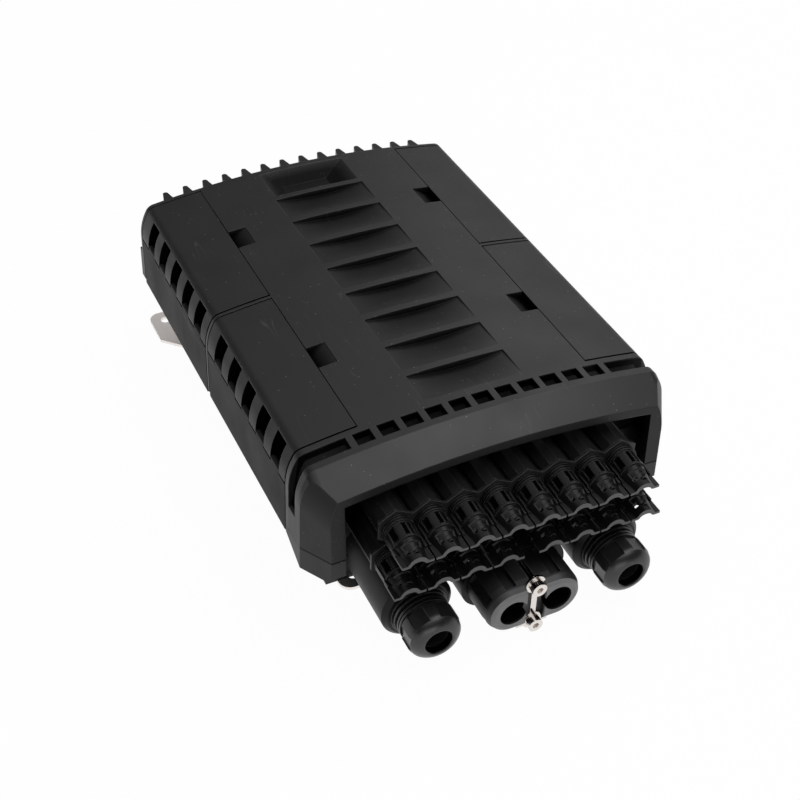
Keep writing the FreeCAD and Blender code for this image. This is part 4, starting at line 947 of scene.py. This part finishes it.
def background_rays(tree):
    """1 for rays that show the background: seen by the camera, in gloss or through glass."""
    path = tree.nodes.new("ShaderNodeLightPath")
    seen = math_node(tree, "MAXIMUM", path.outputs["Is Camera Ray"], path.outputs["Is Glossy Ray"])
    return math_node(tree, "MAXIMUM", seen, path.outputs["Is Transmission Ray"])


def white_sheet():
    """Matt sheet that is plain white as a background."""
    material, tree, matt = start_material("white sheet")
    matt.inputs["Base Color"].default_value = SHEET_GREY
    matt.inputs["Roughness"].default_value = SHEET_ROUGHNESS
    matt.inputs["Specular IOR Level"].default_value = 0.0
    white = tree.nodes.new("ShaderNodeEmission")
    blend = tree.nodes.new("ShaderNodeMixShader")
    join(tree, product(tree, background_rays(tree), FLOOR_WHITE), blend.inputs[0])
    join(tree, matt.outputs[0], blend.inputs[1])
    join(tree, white.outputs[0], blend.inputs[2])
    join(tree, blend.outputs[0], tree.nodes["Material Output"].inputs["Surface"])
    return material


floor_mesh = bpy.data.meshes.new("floor")
floor_shape = bmesh.new()
bmesh.ops.create_grid(floor_shape, x_segments=1, y_segments=1, size=FLOOR_HALF)
bmesh.ops.translate(floor_shape, verts=floor_shape.verts, vec=(0.0, 0.0, -FLOOR_DROP))
floor_shape.to_mesh(floor_mesh)
floor_shape.free()
floor_mesh.materials.append(white_sheet())
floor = bpy.data.objects.new("floor", floor_mesh)
bpy.context.scene.collection.objects.link(floor)
print("floor", 2 * FLOOR_HALF, "m wide")

# %% [markdown]
# Black plastic shows its surroundings as reflections, so the world is a simple tent of one gradient from the
# horizon to the top: a white skirt just above the horizon, dark cloth over it and a white roof. The dark cloth
# keeps the flanks black, and the roof lies in what faces up.

# %% The world
SKIRT_END = (0.05, 1.0)
CLOTH_START = (0.08, 0.02)
CLOTH_END = (0.62, 0.02)
ROOF_START = (0.82, 1.0)


def white_tent():
    """World whose grey goes with the height of the direction, 0 at the horizon and 1 at the top."""
    world = bpy.data.worlds.new("white tent")
    world.use_nodes = True
    tree = world.node_tree
    height = coordinate_axes(tree, "Generated")["Z"]
    cloth = tree.nodes.new("ShaderNodeValToRGB")
    stops = cloth.color_ramp.elements
    stops[0].position = SKIRT_END[0]
    stops[1].position = ROOF_START[0]
    stops.new(CLOTH_START[0])
    stops.new(CLOTH_END[0])
    greys = [stop[1] for stop in (SKIRT_END, CLOTH_START, CLOTH_END, ROOF_START)]
    for stop, grey in zip(stops, greys):
        stop.color = (grey, grey, grey, 1.0)
    join(tree, height, cloth.inputs["Fac"])
    join(tree, cloth.outputs["Color"], tree.nodes["Background"].inputs["Color"])
    return world


bpy.context.scene.world = white_tent()
print("world", bpy.context.scene.world.name)

# %% [markdown]
# Three softboxes stand in the tent. A wide one overhead, a little to the right, lights the cover and the
# hood's sloping brow. A second one behind the box on its right brightens the right half of the cover, as in
# the photograph. A weak third one low in front fills the mouth of the hood and the faces of the inlets.

# %% The lamps
def softbox(name, place, aim, width, height, watts):
    """Area lamp at place, turned to aim."""
    lamp = bpy.data.lights.new(name, "AREA")
    lamp.shape = "RECTANGLE"
    lamp.size = width
    lamp.size_y = height
    lamp.energy = watts
    holder = bpy.data.objects.new(name, lamp)
    bpy.context.scene.collection.objects.link(holder)
    holder.location = place
    holder.rotation_euler = (Vector(aim) - Vector(place)).to_track_quat("-Z", "Y").to_euler()


softbox("softbox overhead", (0.42, -0.25, 1.3), (0.0, -0.05, 0.05), 1.3, 0.7, 5.6)
softbox("softbox behind", (1.25, 1.05, 1.2), (0.0, 0.0, 0.05), 1.2, 0.8, 4.2)
softbox("softbox front", (-0.25, -1.3, 0.22), (0.0, -0.18, 0.05), 0.9, 0.3, 2.0)

# %% [markdown]
# The camera was fitted to straight edges of the photograph whose places on the box are known. Its axes are
# written as unit vectors, and a camera looks along its own minus Z.

# %% The camera
EYE = Vector((-0.2790, -0.6042, 0.5667))
AHEAD = Vector((0.33640, 0.68861, -0.64238)).normalized()
UPWARD = Vector((0.25669, 0.58925, 0.76609)).normalized()
FOCAL_LENGTH = 62.97
SENSOR_WIDTH = 36.0

sideways = AHEAD.cross(UPWARD).normalized()
lens = bpy.data.cameras.new("portrait lens")
lens.lens = FOCAL_LENGTH
lens.sensor_width = SENSOR_WIDTH
camera = bpy.data.objects.new("portrait camera", lens)
bpy.context.scene.collection.objects.link(camera)
orientation = Matrix((sideways, sideways.cross(AHEAD), -AHEAD)).transposed()
camera.matrix_world = Matrix.Translation(EYE) @ orientation.to_4x4()
bpy.context.scene.camera = camera
bpy.context.scene.view_settings.view_transform = "Standard"
print("camera", camera.name)
